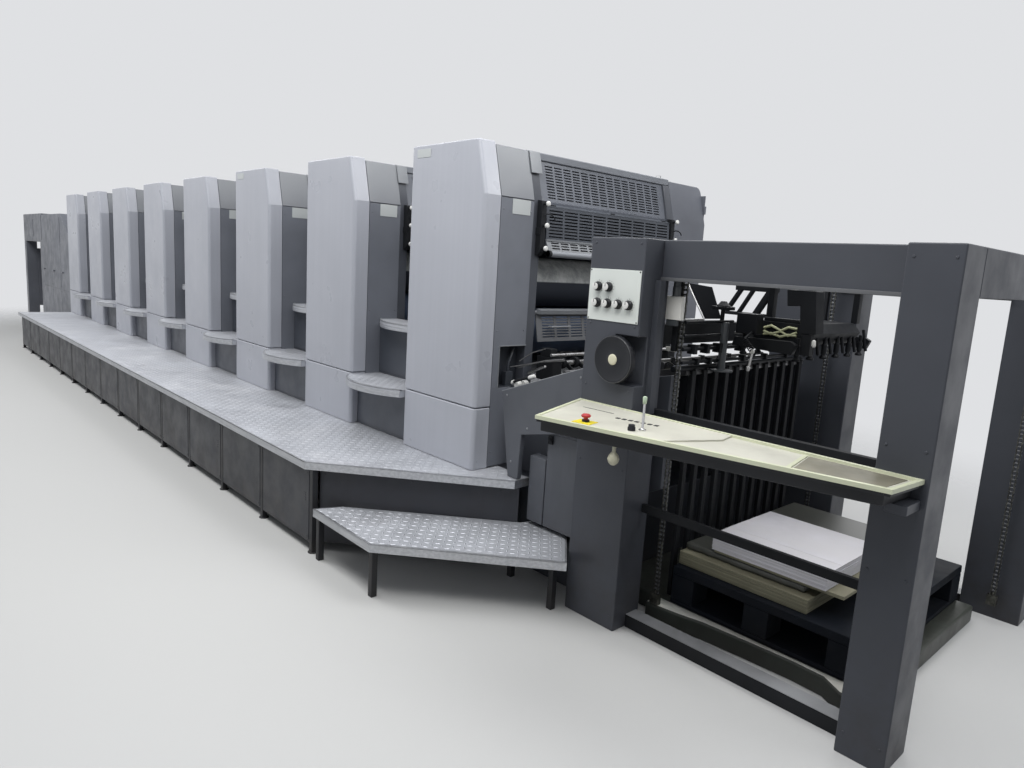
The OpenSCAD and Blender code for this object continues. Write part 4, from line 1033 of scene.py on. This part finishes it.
# Feeder frame. Folded steel posts and beams painted dark slate, on the floor, with a lighter
# lower flange along the beam and screwed covers on the faces.
feeder_paint = painted("feeder_paint", (0.052, 0.056, 0.067), cloudy=0.08, grime=0.6, grime_top=0.6,
                       streaks=0.2, shine=0.3)
for node in ("feeder_column", "feeder_right_post", "feeder_drive_posts", "feeder_top_beams"):
    eased(node, feeder_paint, 0.005, 2)
bar_paint = painted("bar_paint", (0.100, 0.103, 0.110), cloudy=0.2, grime=0.9, grime_top=0.3, streaks=0.5)
floor_grey = painted("floor_grey", (0.25, 0.255, 0.265), cloudy=0.4, grime=0.35, grime_top=0.1, streaks=0.8)
COL_X, POST_X, FAR_X, FACE, BEAM_LOW = (1255.0, 1535.0), (2474.0, 2630.0), (1720.0, 2384.0), 60.0, 1484.0
NEAR_X = (COL_X[1], POST_X[0])
bars = Metalwork()
for span, (y0, y1) in ((NEAR_X, (140, 215)), (FAR_X, (1665, 1740))):
    bars.finish = 1
    bars.block(span, (y0, y1), (0, 56))
    bars.finish = 0
    bars.block(span, (y0 + 1, y1 - 1), (56, 60))
bars.finish = 1
bars.block(NEAR_X, (185, 205), (508, 543))
bars.put("floor_bars_and_guard_bar", [floor_grey, void_black], "housing_grey",
         stands_for=["feeder_floor_bars"], ease=0.003)
flanges = Metalwork()
flanges.block(NEAR_X, (170, 177), (BEAM_LOW - 4, BEAM_LOW + 10))
flanges.block(FAR_X, (1703, 1710), (BEAM_LOW - 4, BEAM_LOW + 10))
flanges.finish = 1
flanges.block((COL_X[1] - 4, COL_X[1] + 26), (140, 176), (940, BEAM_LOW - 4))
flanges.block((POST_X[0] - 10, POST_X[0]), (176, 232), (900, BEAM_LOW))
screws = [(x, FACE, z) for x in (COL_X[0] + 24, COL_X[1] - 24) for z in (1618, 1290, 1030, 700, 60)]
screws += [(x, FACE, z) for x in (POST_X[0] + 22, POST_X[1] - 22) for z in (1600, 1040, 640, 80)]
flanges.turned_at(screws, (0, -1, 0), [(5, -0.5), (5, 1.5), (3, 2.4)])
flanges.put("feeder_flanges", [bar_paint, feeder_paint], "housing_grey", ease=0.001)
rail = Metalwork().block(NEAR_X, (190, 216), (924, 956))
rail.put("feeder_mid_rail", [void_black], "steel_black", ease=0.002)

# Control plate on the column: a sprayed aluminium panel with a thin frame, six air knobs with
# white caps and a mark on each, and a ring of fine marks round every knob.
plate_white = painted("plate_white", (0.60, 0.63, 0.60), cloudy=0.04, rough=0.4, grime=0.0, streaks=0.12,
                      peel=0.04)
eased("control_plate", plate_white, 0.0012)
ink_black = painted("ink_black", (0.03, 0.03, 0.03), cloudy=0.0, rough=0.6, grime=0.0, streaks=0.0)
knob_black = painted("knob_black", (0.011, 0.012, 0.015), cloudy=0.1, rough=0.38, grime=0.0, peel=0.0,
                     shine=0.3)
PLATE_FACE = 55.6
KNOBS = ((1314, 1441), (1369, 1441), (1314, 1375), (1369, 1375), (1424, 1375), (1479, 1375))
marks = Metalwork()
for x, z in KNOBS:
    for k in range(11):
        turn = math.radians(-135 + 27 * k)
        far, near = (26.5, 23) if k % 5 else (27.5, 22)
        s, c = math.sin(turn), math.cos(turn)
        marks.slab([(x + s * reach + c * side, z + c * reach - s * side)
                    for reach, side in ((near, -0.5), (near, 0.5), (far, 0.5), (far, -0.5))], "y", 55.5, 56)
marks.turned_at([(x, 56, z) for x in (1268, 1521) for z in (1309, 1507)], (0, -1, 0), [(3.5, 0), (3, 1.2)], 8)
marks.put("control_plate_marks", [ink_black], "control_white")
for i, (x, z) in enumerate(KNOBS, 1):
    foot = (x, PLATE_FACE, z)
    knob = Metalwork()
    knob.turned(foot, (0, -1, 0), [(19, 0), (20, 2), (19.5, 9), (16.5, 12), (16, 22), (15, 23.5)], 28)
    knob.finish = 1
    knob.turned(foot, (0, -1, 0), [(14.5, 23), (14.5, 25.2), (12, 26.4)], 24)
    knob.finish = 0
    knob.block((x - 1.2, x + 1.2), (28.4, 30), (z + 2, z + 13))
    knob.put(f"air_knob_turned_{i}", [knob_black, knob_white], "knob_black", f"knob_{i}", [f"air_knob_{i}"])

# Handwheel for the feeder drive: a black moulded disc with a shallow dish, a thin pale rim line
# and a cream cap over the shaft nut.
cream = painted("cream_cap", (0.56, 0.54, 0.40), cloudy=0.05, rough=0.45, grime=0.0, peel=0.0)
rim_grey = painted("rim_grey", (0.050, 0.052, 0.056), cloudy=0.1, rough=0.4, grime=0.0, peel=0.0)
WHEEL_X, WHEEL_Y, WHEEL_Z, LINE_R = 1442, 54, 1154, 94
hub = (WHEEL_X, WHEEL_Y, WHEEL_Z)
wheel = Metalwork()
wheel.turned(hub, (0, -1, 0), [(88, 0), (95, 2), (97.5, 7), (97.5, 23), (95.5, 28), (91, 30), (86, 29.2),
                               (80, 26.5), (40, 25.5), (30, 26.5), (26, 28)], 96)
wheel.rod(hub, (WHEEL_X, WHEEL_Y + 65, WHEEL_Z), 18, 24)
wheel.finish = 1
wheel.turned(hub, (0, -1, 0), [(22, 27), (22.5, 29), (20.5, 31.5), (14, 32.5)], 32)
wheel.finish = 2
wheel.pipe([(WHEEL_X + LINE_R * math.cos(t), 24.6, WHEEL_Z + LINE_R * math.sin(t)) for t in full_turn(64)],
           1.3, 6, closed=True)
wheel.put("handwheel_disc", [knob_black, cream, rim_grey], "knob_black", "wheel", ["handwheel"], sharp=50)

# Console. A moulded cream shelf with a rim, higher at the operator's end where the controls sit
# and sunk to a tray towards the open end, on a dark folded tray with a bracket to the post.
console_cream = painted("console_moulding", (0.57, 0.56, 0.485), cloudy=0.10, rough=0.42, grime=0.0,
                        streaks=0.35, peel=0.05)
rim_cream = painted("console_rim", (0.60, 0.62, 0.45), cloudy=0.06, rough=0.38, grime=0.0, streaks=0.2,
                    peel=0.03)
tray_grey = painted("tray_sheet", (0.25, 0.235, 0.175), cloudy=0.5, rough=0.5, grime=0.0, streaks=1.0)
SHELF, PAD, RIM = 951, 957, 960.0
shelf_plan = [(1255, 60), (1420, -370), (2600, -143), (2616, 60)]


def shrunk(outline, by):
    """A convex outline with every edge moved in, for rims and insets."""
    area = sum(xa * yb - xb * ya for (xa, ya), (xb, yb) in zip(outline, outline[1:] + outline[:1]))
    sign = 1 if area > 0 else -1
    lines = []
    for (xa, ya), (xb, yb) in zip(outline, outline[1:] + outline[:1]):
        run = math.hypot(xb - xa, yb - ya)
        nx, ny = -(yb - ya) / run * by * sign, (xb - xa) / run * by * sign
        lines.append(((xa + nx, ya + ny), (xb - xa, yb - ya)))
    result = []
    for (p, d), (q, e) in zip([lines[-1], *lines[:-1]], lines):
        cross = d[0] * e[1] - d[1] * e[0]
        t = ((q[0] - p[0]) * e[1] - (q[1] - p[1]) * e[0]) / cross
        result.append((p[0] + d[0] * t, p[1] + d[1] * t))
    return result


def ring(work, outer, inner, low, high):
    """A flat frame between two outlines of as many points."""
    n = len(outer)
    points = [(x, y, z) for z in (low, high) for outline in (outer, inner) for x, y in outline]
    work.add(points, [*band(0, n, n), *band(2 * n, 3 * n, n), *band(0, 2 * n, n), *band(n, 3 * n, n)])


shelf = Metalwork()
shelf.slab(shrunk(shelf_plan, 3), "z", SHELF - 6, SHELF)
shelf.slab([(1268, 52), (1424, -356), (1905, -263), (2010, -40), (1990, 52)], "z", SHELF, PAD)
shelf.finish = 1
ring(shelf, shelf_plan, shrunk(shelf_plan, 14), 946, RIM)
shelf.slab([(2306, -186), (2320, -183), (2276, 38), (2262, 38)], "z", SHELF, SHELF + 4)
shelf.finish = 2
shelf.slab([(2326, -178), (2566, -132), (2578, 36), (2282, 36)], "z", SHELF, SHELF + 2)
shelf.finish = 4
shelf.slab(shrunk(shelf_plan, 5), "z", 936, 946)
shelf.finish = 3
shelf.slab([(1385, -66), (1537, -58), (1537, -52), (1385, -60)], "z", PAD, PAD + 0.6)
for k in range(7):
    x, y = 1592 + 26 * k, -118 + 5 * k
    shelf.slab([(x + 4, y), (x + 20, y + 3), (x + 16, y + 21), (x, y + 18)], "z", PAD, PAD + 1.5)
shelf.put("console_shelf", [console_cream, rim_cream, tray_grey, ink_black, black_paint], "console_cream",
          stands_for=["console"], ease=0.0045, steps=3)
eased("console_support", black_paint, 0.006, 2)
brackets = Metalwork().block((2552, 2614), (-46, 58), (866, 896)).block((1262, 1280), (-100, 58), (858, 896))
brackets.put("console_brackets", [feeder_paint], "housing_grey", ease=0.002)

# Controls on the shelf: a red mushroom stop on a yellow plate, a chrome stalk with a green tip,
# one black push button, and a turned drawer knob below the shelf.
yellow = painted("yellow_plate", (0.75, 0.62, 0.03), cloudy=0.05, rough=0.4, grime=0.0, streaks=0.1, peel=0.0)
stop_red = painted("stop_red", (0.42, 0.012, 0.014), cloudy=0.03, rough=0.25, grime=0.0, streaks=0.0,
                   peel=0.0)
STOP_X, STOP_Y, STALK_X, STALK_Y = 1588, -275, 1780, -190
fittings = Metalwork()
fittings.slab([(1556, -318), (1630, -304), (1618, -240), (1546, -254)], "z", PAD, PAD + 2)
fittings.finish = 1
collar = [[(STOP_X + r * math.cos(t), STOP_Y + r * math.sin(t)) for t in full_turn(24)] for r in (14, 9)]
ring(fittings, *collar, PAD + 2, PAD + 9.5)
fittings.turned((1760, -226, PAD), (0, 0, 1), [(14, 0), (14, 12), (12, 15), (12, 21), (10, 22)])
fittings.finish = 2
fittings.turned((1717, -259, 896), (0, 0, -1), [(7, 0), (7, 22), (17, 34), (22, 48), (17, 62), (9, 70)])
fittings.put("console_fittings", [yellow, knob_black, cream], "console_cream")
stop = Metalwork()
stop.turned((STOP_X, STOP_Y, PAD + 8.5), (0, 0, 1),
            [(8, 0), (8, 9), (16, 10.5), (18, 14.5), (17, 18.5), (12, 22), (5, 23)], 28)
stop.put("stop_mushroom", [stop_red], "stop_red", "stop", ["stop_button"], sharp=60)
chrome = metal("chrome", 0.12, ((0.62, 0.62, 0.62), (0.50, 0.50, 0.50)), (20.0, 0.4, 0.7))
tip_green = painted("tip_green", (0.46, 0.56, 0.42), cloudy=0.05, rough=0.35, grime=0.0, peel=0.0)
stalk = Metalwork()
stalk.turned((STALK_X, STALK_Y, PAD), (0, 0, 1), [(14, 0), (14, 4), (7, 6), (4.5, 9), (4.5, 98)], 18)
stalk.finish = 1
stalk.turned((STALK_X, STALK_Y, PAD + 95), (0, 0, 1), [(4, 0), (6.5, 2), (7.5, 14), (8, 24), (5, 28)], 18)
stalk.put("switch_stalk", [chrome, tip_green], "chrome_part", stands_for=["stalk"], sharp=50)

# Suction head. It lifts the top sheet off the pile: a black cast body on two cross rails, with
# suckers on tubes along both sides, blast nozzles, and slanting struts to the valve behind it.
head_iron = painted("head_iron", (0.007, 0.008, 0.010), cloudy=0.3, rough=0.42, grime=0.0, streaks=0.5,
                    shine=0.15)
HEAD_X, HEAD_Z, RAIL_Z = 1640.0, 1184.0, 1524.0
HEAD_Y0, HEAD_Y1, HANGERS = 560.0, 1320.0, (1700.0, 1880.0)
BODY = [(40, 60), (250, 60), (286, 110), (250, 150), (60, 150), (26, 110)]
CHEEKS = [(10, 40), (280, 30), (296, 70), (270, 84), (20, 78)]
head = Metalwork()
for outline, y0, y1 in ((BODY, HEAD_Y0 + 130, HEAD_Y1 - 120), (CHEEKS, HEAD_Y0, HEAD_Y0 + 26),
                        (CHEEKS, HEAD_Y1 - 26, HEAD_Y1)):
    head.slab([(HEAD_X + x, HEAD_Z + z) for x, z in outline], "y", y0, y1)
head.block((HEAD_X + 22, HEAD_X + 118), (HEAD_Y0, HEAD_Y0 + 54), (HEAD_Z + 94, HEAD_Z + 179))
head.block((HEAD_X + 74, HEAD_X + 236), (HEAD_Y0 + 134, HEAD_Y0 + 160), (HEAD_Z + 150, HEAD_Z + 166))
for x in HANGERS:
    for y in (HEAD_Y0 + 200, HEAD_Y1 - 100):
        head.block((x - 14, x + 14), (y, y + 36), (HEAD_Z + 146, RAIL_Z))
        head.block((x - 30, x + 30), (y - 10, y + 46), (RAIL_Z - 34, RAIL_Z + 20))
STRUTS = (((1398, 1347), (1465, 1455), 11), ((1467, 1349), (1528, 1455), 9), ((1548, 1336), (1618, 1458), 17))
for (x0, z0), (x1, z1), half in STRUTS:
    head.slab([(x0 - half, z0), (x0 + half, z0), (x1 + half, z1), (x1 - half, z1)], "y", 900, 922)
head.block((1390, 1640), (900, 930), (1334, 1350))
head.block((1440, 1650), (900, 930), (1452, 1476))
head.slab([(1851, 1474), (1860, 1407), (1914, 1412), (1926, 1300), (1992, 1304), (1972, 1474)], "y", 600, 672)
head.finish = 1
for x in HANGERS:
    head.rod((x, 276, RAIL_Z), (x, 1604, RAIL_Z), 20, 20)
head.rod((HEAD_X + 20, HEAD_Y0 + 4, HEAD_Z + 92), (HEAD_X + 20, HEAD_Y1 - 4, HEAD_Z + 92), 7)
head.finish = 0
SUCKER = [(15, 0), (17, 6), (9, 16), (8, 22), (12, 24), (12, 62), (8, 64), (8, 96)]
for y in (HEAD_Y0 + 70 + 124 * k for k in range(6)):
    head.turned_at([(HEAD_X + 30, y, HEAD_Z), (HEAD_X + 270, y, HEAD_Z)], (0, 0, 1), SUCKER, 16)
    head.rod((HEAD_X + 285, y + 40, HEAD_Z + 20), (HEAD_X + 262, y + 40, HEAD_Z + 120), 7)
head.put("suction_head_body", [head_iron, dull_steel], "head_dark", stands_for=["suction_head"], ease=0.003)

# Setting gear beside the suction head: a toothed ring on a grey lift column, a stack of cross
# shafts with clamps, a slanting brace with a bright edge, a coil spring and a bent chrome lever.
box_cream = painted("box_cream", (0.66, 0.65, 0.62), cloudy=0.05, rough=0.45, grime=0.0, streaks=0.2)
hose_pale = painted("hose_pale", (0.36, 0.37, 0.22), cloudy=0.15, rough=0.4, grime=0.0, streaks=0.3)
column_grey = painted("column_grey", (0.060, 0.066, 0.072), cloudy=0.1, rough=0.4, grime=0.0)
gear = Metalwork()
teeth = [(50 if k % 2 else 44, t) for k, t in enumerate(full_turn(48))]
gear.slab([(1593 + r * math.cos(t), 560 + r * math.sin(t)) for r, t in teeth], "z", 1370, 1384)
gear.turned((1593, 560, 1316), (0, 0, 1), [(9, 0), (9, 54), (30, 55), (30, 72), (22, 76), (12, 90)], 24)
for x, z, y1, r in ((1600, 1318, 640, 7), (1600, 1262, 600, 5), (1600, 1206, 1400, 8), (1600, 1150, 1400, 7),
                    (1560, 1118, 1400, 12)):
    gear.rod((x, 276, z), (x, y1, z), r)
for y in (330, 425, 520, 700, 900, 1100):
    gear.block((1584, 1622), (y, y + 22), (1186, 1226))
    gear.block((1586, 1616), (y + 40, y + 56), (1138, 1166))
COIL_R, COIL_TURN, COIL_STEP = 12, 0.7, 0.95
coil_start = Vector((1742, 500, 1258))
run = (Vector((1786, 500, 1216)) - coil_start).normalized()
side = Vector((0, 1, 0))
rise = run.cross(side)
coil = [coil_start + run * (COIL_STEP * k) + side * (COIL_R * math.cos(COIL_TURN * k))
        + rise * (COIL_R * math.sin(COIL_TURN * k)) for k in range(64)]
gear.pipe(coil, 2.6, 6)
gear.rod((1742, 500, 1262), (1742, 560, 1290), 5)
gear.slab([(1374, 1473), (1496, 1462), (1558, 1326), (1477, 1318)], "y", 606, 612)
gear.block((1713, 1877), (700, 712), (1304, 1340))
gear.block((1935, 1975), (600, 630), (1215, 1300))
gear.finish = 1
gear.rod((1784, 500, 1206), (1776, 500, 1150), 5)
gear.turned((1776, 500, 1152), (-0.2, 0, -1), [(5, 0), (9, 4), (8, 18), (4, 23)], 14)
gear.pipe([(1374, 600, 1473), (1425, 600, 1396), (1477, 600, 1320)], 5)
gear.rod((1593, 276, 1328), (1593, 420, 1328), 4)
gear.finish = 2
gear.block((1514, 1600), (236, 262), (1325, 1420))
gear.block((1500, 1545), (300, 316), (1188, 1206))
gear.turned((1540, 430, 1086), (0, 1, 0), [(6, 0), (11, 8), (12, 40), (7, 50)], 14)
gear.turned((1784, 500, 1222), (0, 0, -1), [(7, 0), (10, 4), (10, 12), (6, 18)], 14)
gear.turned((1990, 596, 1282), (0.2, -0.2, -1), [(5, 0), (8, 5), (8, 22), (5, 30)], 12)
gear.finish = 3
gear.turned((1562, 250, 1420), (0, 0, 1), [(17, 0), (17, 38), (15, 40), (15, 63)], 18)
gear.turned((1612, 560, 1110), (0, 0, 1), [(52, -6), (52, 0), (22, 2), (17, 8), (17, 206)], 24)
gear.block((1530, 1580), (240, 258), (1300, 1325))
gear.finish = 4
for z, bend in ((1304, 12), (1290, -10), (1276, 8)):
    gear.pipe([(1722, 690, z), (1760, 682, z + bend), (1800, 690, z - bend / 2), (1836, 684, z + bend),
               (1872, 690, z + 8)], 6)
gear.put("head_setting_gear", [head_iron, bright_steel, box_cream, column_grey, hose_pale], "head_dark",
         ease=0.0012)

# Front lay of the pile: flat steel guide bars in a row, with lighter strips on their edges for wear and
# painted glints, with the cross rail above them and the side guide that stands behind the bars.
eased("feeder_guides", void_black, 0.002)
# The strips are a little lighter than the bars: wear on the edges and painted glints.
glint_and_wear_black = painted("glint_and_wear_black", (0.018, 0.019, 0.021), cloudy=0.4, rough=0.45, grime=0.0, streaks=0.6,
                     shine=0.3)
GUIDES = 12
glint_and_wear_strips = Metalwork()
for y in (INNER + (FAR - INNER) / GUIDES * (i + 0.5) for i in range(GUIDES)):
    glint_and_wear_strips.block((1568, 1570.5), (y - 13, y - 10), (440, 1080))
    glint_and_wear_strips.block((1566, 1580), (y - 10, y + 10), (1104, 1114))
glint_and_wear_strips.put("guide_glint_and_wear_strips", [glint_and_wear_black], "chain_steel", ease=0.001)

# Lift chains. Roller chains in the four corners, side plates and pins, hanging from sprockets on
# the beams down to anchor blocks at the floor bars.
chain_steel = metal("chain_steel", 0.42, ((0.16, 0.16, 0.14), (0.05, 0.05, 0.045)), (30.0, 0.3, 0.7, 6.0))
CHAIN_PITCH, CHAIN_LOW = 19.05, 96
LINK = [(-6, -5), (6, -5), (4, 9.5), (6, 24), (-6, 24), (-4, 9.5)]
chains = Metalwork()
for cx, cy, top in ((1580, 285, 1544), (2524, 285, 1490), (1610, 1595, 1544), (2524, 1595, 1490)):
    for k in range(int((top - 100) / CHAIN_PITCH)):
        z = CHAIN_LOW + CHAIN_PITCH * k
        half = 7.0 if k % 2 else 10.0
        for x in (cx - half, cx + half):
            chains.slab([(cy + dy, z + dz) for dy, dz in LINK], "x", x - 1.2, x + 1.2)
        chains.finish = 1
        chains.rod((cx - 12, cy, z), (cx + 12, cy, z), 5.0, 8)
        chains.finish = 0
    chains.block((cx - 20, cx + 20), (cy - 14, cy + 12), (84, 132))
    chains.turned((cx, cy, 132), (0, 0, 1), [(7, 0), (7, 14)], 10)
    chains.turned((cx - 8, cy, top - 20), (1, 0, 0), [(22, 0), (22, 16)], 22)
chains.put("lift_chain_links", [chain_steel, bar_paint], "chain_steel", stands_for=["lift_chains"], sharp=50)

# Pile. A dark moulded pallet, a stack of cream card under a grey film wrap, and clean white cut
# sheets set square on a cream layer; each layer lies a little off the one below.
dice = random.Random(7)
pallet_dark = painted("pallet_dark", (0.005, 0.007, 0.011), cloudy=0.3, rough=0.65, grime=0.2, shine=0.12)
X0, X1, Y0, Y1, LOW = 1605.0, 2404.0, 360.0, 1520.0, 80.3
FOOT_X, FOOT_Y, BOARD_TOP = 110, 120, 172
pallet = Metalwork()
pallet.block((X0, X1), (Y0, Y1), (LOW + 134, LOW + BOARD_TOP))
pallet.block((X0, X1), (Y0, Y1), (LOW, LOW + 22))
for x in (X0, (X0 + X1 - FOOT_X) / 2, X1 - FOOT_X):
    for y in (Y0, (Y0 + Y1 - FOOT_Y) / 2, Y1 - FOOT_Y):
        pallet.block((x, x + FOOT_X), (y, y + FOOT_Y), (LOW + 20, LOW + 136))
for y in (Y0 + 40 + 130 * k for k in range(9)):
    pallet.block((X0 - 2, X0 + 6), (y, y + 70), (LOW + 142, LOW + 164))
pallet.put("pile_pallet", [pallet_dark], "pallet_dark", "pile", ["pile_board"], ease=0.004)


def sheet_colour(name, colour, edge, rough=0.75):
    """Paper or film, a little blotched, with the fine lines of stacked edges."""
    finish, tree, shader, place = start_finish(name, rough)
    lines = patches(tree, place, 8.0, 0.35, 0.65, 3.0, 0.5, (0.3, 0.3, 60.0))
    dull = tuple(c * 0.82 for c in colour)
    blotch = mix_colours(tree, patches(tree, place, 4.0, 0.35, 0.75, 6.0), colour, dull)
    tree.links.new(mix_colours(tree, lines, blotch, edge), shader.inputs["Base Color"])
    return finish


white_paper = sheet_colour("white_paper", (0.60, 0.59, 0.63), (0.55, 0.54, 0.56))
card_edge = sheet_colour("card_edge", (0.25, 0.24, 0.165), (0.17, 0.16, 0.11))
pink_sheet = sheet_colour("pink_sheet", (0.52, 0.44, 0.37), (0.46, 0.40, 0.33))
film_grey = sheet_colour("film_grey", (0.068, 0.070, 0.062), (0.050, 0.052, 0.046), 0.42)
STACK_LOW, FILM_LOW, SHEETS_LOW, SHEETS_TOP = LOW + BOARD_TOP, LOW + 230, LOW + 262, LOW + 349
CARDS, CARD_T, PINKS, PINK_T, CUTS, CUT_T, PAD_T = 10, 5.8, 4, 4.5, 20, 3.6, 14
stack = Metalwork()
for k in range(CARDS):
    dx, dy, z = dice.uniform(-5, 0), dice.uniform(0, 4), STACK_LOW + CARD_T * k
    stack.block((X0, X0 + 585 + dx), (400 + dy, 1480 - dy), (z, z + CARD_T - 0.2))
stack.finish = 1
for k in range(PINKS):
    dx, z = dice.uniform(0, 8), FILM_LOW + PINK_T * k
    stack.block((X0 + 548, X0 + 640 - dx), (560 + 2 * k, 1300), (z, z + PINK_T - 0.5))
stack.put("card_stack", [card_edge, pink_sheet], "paper_wrap", "pile", ["paper_stack"], ease=0.001)
film = Metalwork()
near = [(X0 + 545 * k / 20, 445 + dice.uniform(-5, 5)) for k in range(21)]
film.slab([*near, (X0 + 549, 900), (X0 + 543, 1440), (X0 + 2, 1444)], "z", FILM_LOW, SHEETS_LOW)
film.put("film_wrap", [film_grey], "paper_wrap", "pile", ease=0.011, steps=4)
top_sheets = Metalwork()
top_sheets.block((X0 + 140, X0 + 694), (446, 918), (SHEETS_LOW, SHEETS_LOW + PAD_T))
top_sheets.finish = 1
for k in range(CUTS):
    dx, dy, z = dice.uniform(0, 3), dice.uniform(0, 3), SHEETS_LOW + PAD_T + CUT_T * k
    top_sheets.block((X0 + 132 + dx, X0 + 627 + dx), (432 + dy, 922 + dy), (z, z + CUT_T - 0.2))
top_sheets.block((X0 + 134, X0 + 629), (560, 924), (SHEETS_TOP - 1.2, SHEETS_TOP))
top_sheets.put("cut_sheets", [card_edge, white_paper], "paper_white", "pile", ["top_sheets"], ease=0.0008)

# Base of the pile well: a grey green cast plate whose near edge swings back between the posts,
# with the paint trodden off to a beige strip along that edge, made near white as painted light.
base_paint = painted("base_paint", (0.050, 0.055, 0.048), cloudy=0.35, grime=0.6, grime_top=0.2, streaks=0.6,
                     shine=0.3)
# The strip's near white colour is worn paint and painted light, where the console shades it.
worn_and_lit_beige = painted("worn_and_lit_beige", (0.80, 0.77, 0.70), cloudy=0.3, grime=0.0, streaks=0.8)
eased("feeder_base", base_paint, 0.010, 3)
EDGE_BACK = 356
edge = [(COL_X[1] + 6, 283), (1590, 283), (1700, 298), (1800, 320), (2000, 333), (2190, 342), (2310, 335),
        (2390, 283), (POST_X[0] - 6, 283)]
lip = Metalwork().slab([*edge, *[(x, EDGE_BACK) for x, _ in reversed(edge)]], "z", 78, 81)
lip.put("worn_and_lit_base_edge", [worn_and_lit_beige], "housing_grey", ease=0.001)

# Delivery. A closed sheet housing for the chains, then the pile bay: four posts under a deep
# hood, with a slatted gate at the end. Screwed panels, pulls and vents break up its faces.
for node in ("delivery_housing", "delivery_posts", "delivery_hood", "delivery_gate"):
    eased(node, gear_paint, 0.006, 2)
SIDES = ((20, -1), (1810, 1))
house = Metalwork()


def on_side(face, out, low, high):
    """The width of something that stands from low to high out of a side."""
    return sorted((face + out * low, face + out * high))


for x0, x1, z1 in ((-9030, -8420, 1440), (-9660, -9040, 1800), (-10390, -9670, 1800)):
    for face, out in SIDES:
        for z in ((760, z1), (60, 752)):
            house.block((x0, x1), on_side(face, out, 0, 4), z)
        house.turned_at([(x, face + out * 4, z) for x in (x0 + 30, x1 - 30) for z in (90, 720, 800, z1 - 40)],
                        (0, out, 0), [(6, 0), (6, 2), (4, 3)], 8)
        house.block((x0 + 60, x0 + 180), on_side(face, out, 4, 22), (1000, 1016))
        for z in (160 + 26 * row for row in range(8)):
            house.block((x1 - 260, x1 - 60), on_side(face, out, 4, 9), (z, z + 10))
for face, out in SIDES:
    house.block((-11960, -10420), on_side(face, out, 0, 4), (1450, 1840))
    house.block((-11900, -11100), on_side(face, out, 4, 8), (1500, 1780))
house.block((-12004, -12000), (60, 1770), (1460, 1830))
for y in (200 + 160 * k for k in range(9)):
    house.block((-11872, -11860), (y, y + 70), (340, 1260))
house.put("delivery_panels", [gear_paint], "housing_grey", ease=0.002)
wood, tree, shader, place = start_finish("pallet_wood", 0.75)
grain = patches(tree, place, 30.0, 0.3, 0.7, 6.0, 0.6, (0.06, 1.0, 1.0))
tree.links.new(mix_colours(tree, grain, (0.30, 0.21, 0.12), (0.20, 0.13, 0.07)), shader.inputs["Base Color"])
raise_bumps(tree, shader, grain, 0.3, 0.001)
SKID_X, SKID_Y, BEARER = (-11650.0, -10750.0), (402, 1428), 100
skid = Metalwork()
for y in (SKID_Y[0] + 130 * k for k in range(8)):
    skid.block(SKID_X, (y, y + 112), (160, 180))
for x in (SKID_X[0], (SKID_X[0] + SKID_X[1] - BEARER) / 2, SKID_X[1] - BEARER):
    for z in ((138, 160), (30, 50)):
        skid.block((x, x + BEARER), SKID_Y, z)
    for y in (402, 865, 1328):
        skid.block((x, x + BEARER), (y, y + 100), (50, 138))
skid.put("delivery_skid", [wood], "pallet_wood", stands_for=["delivery_pile"], ease=0.002)
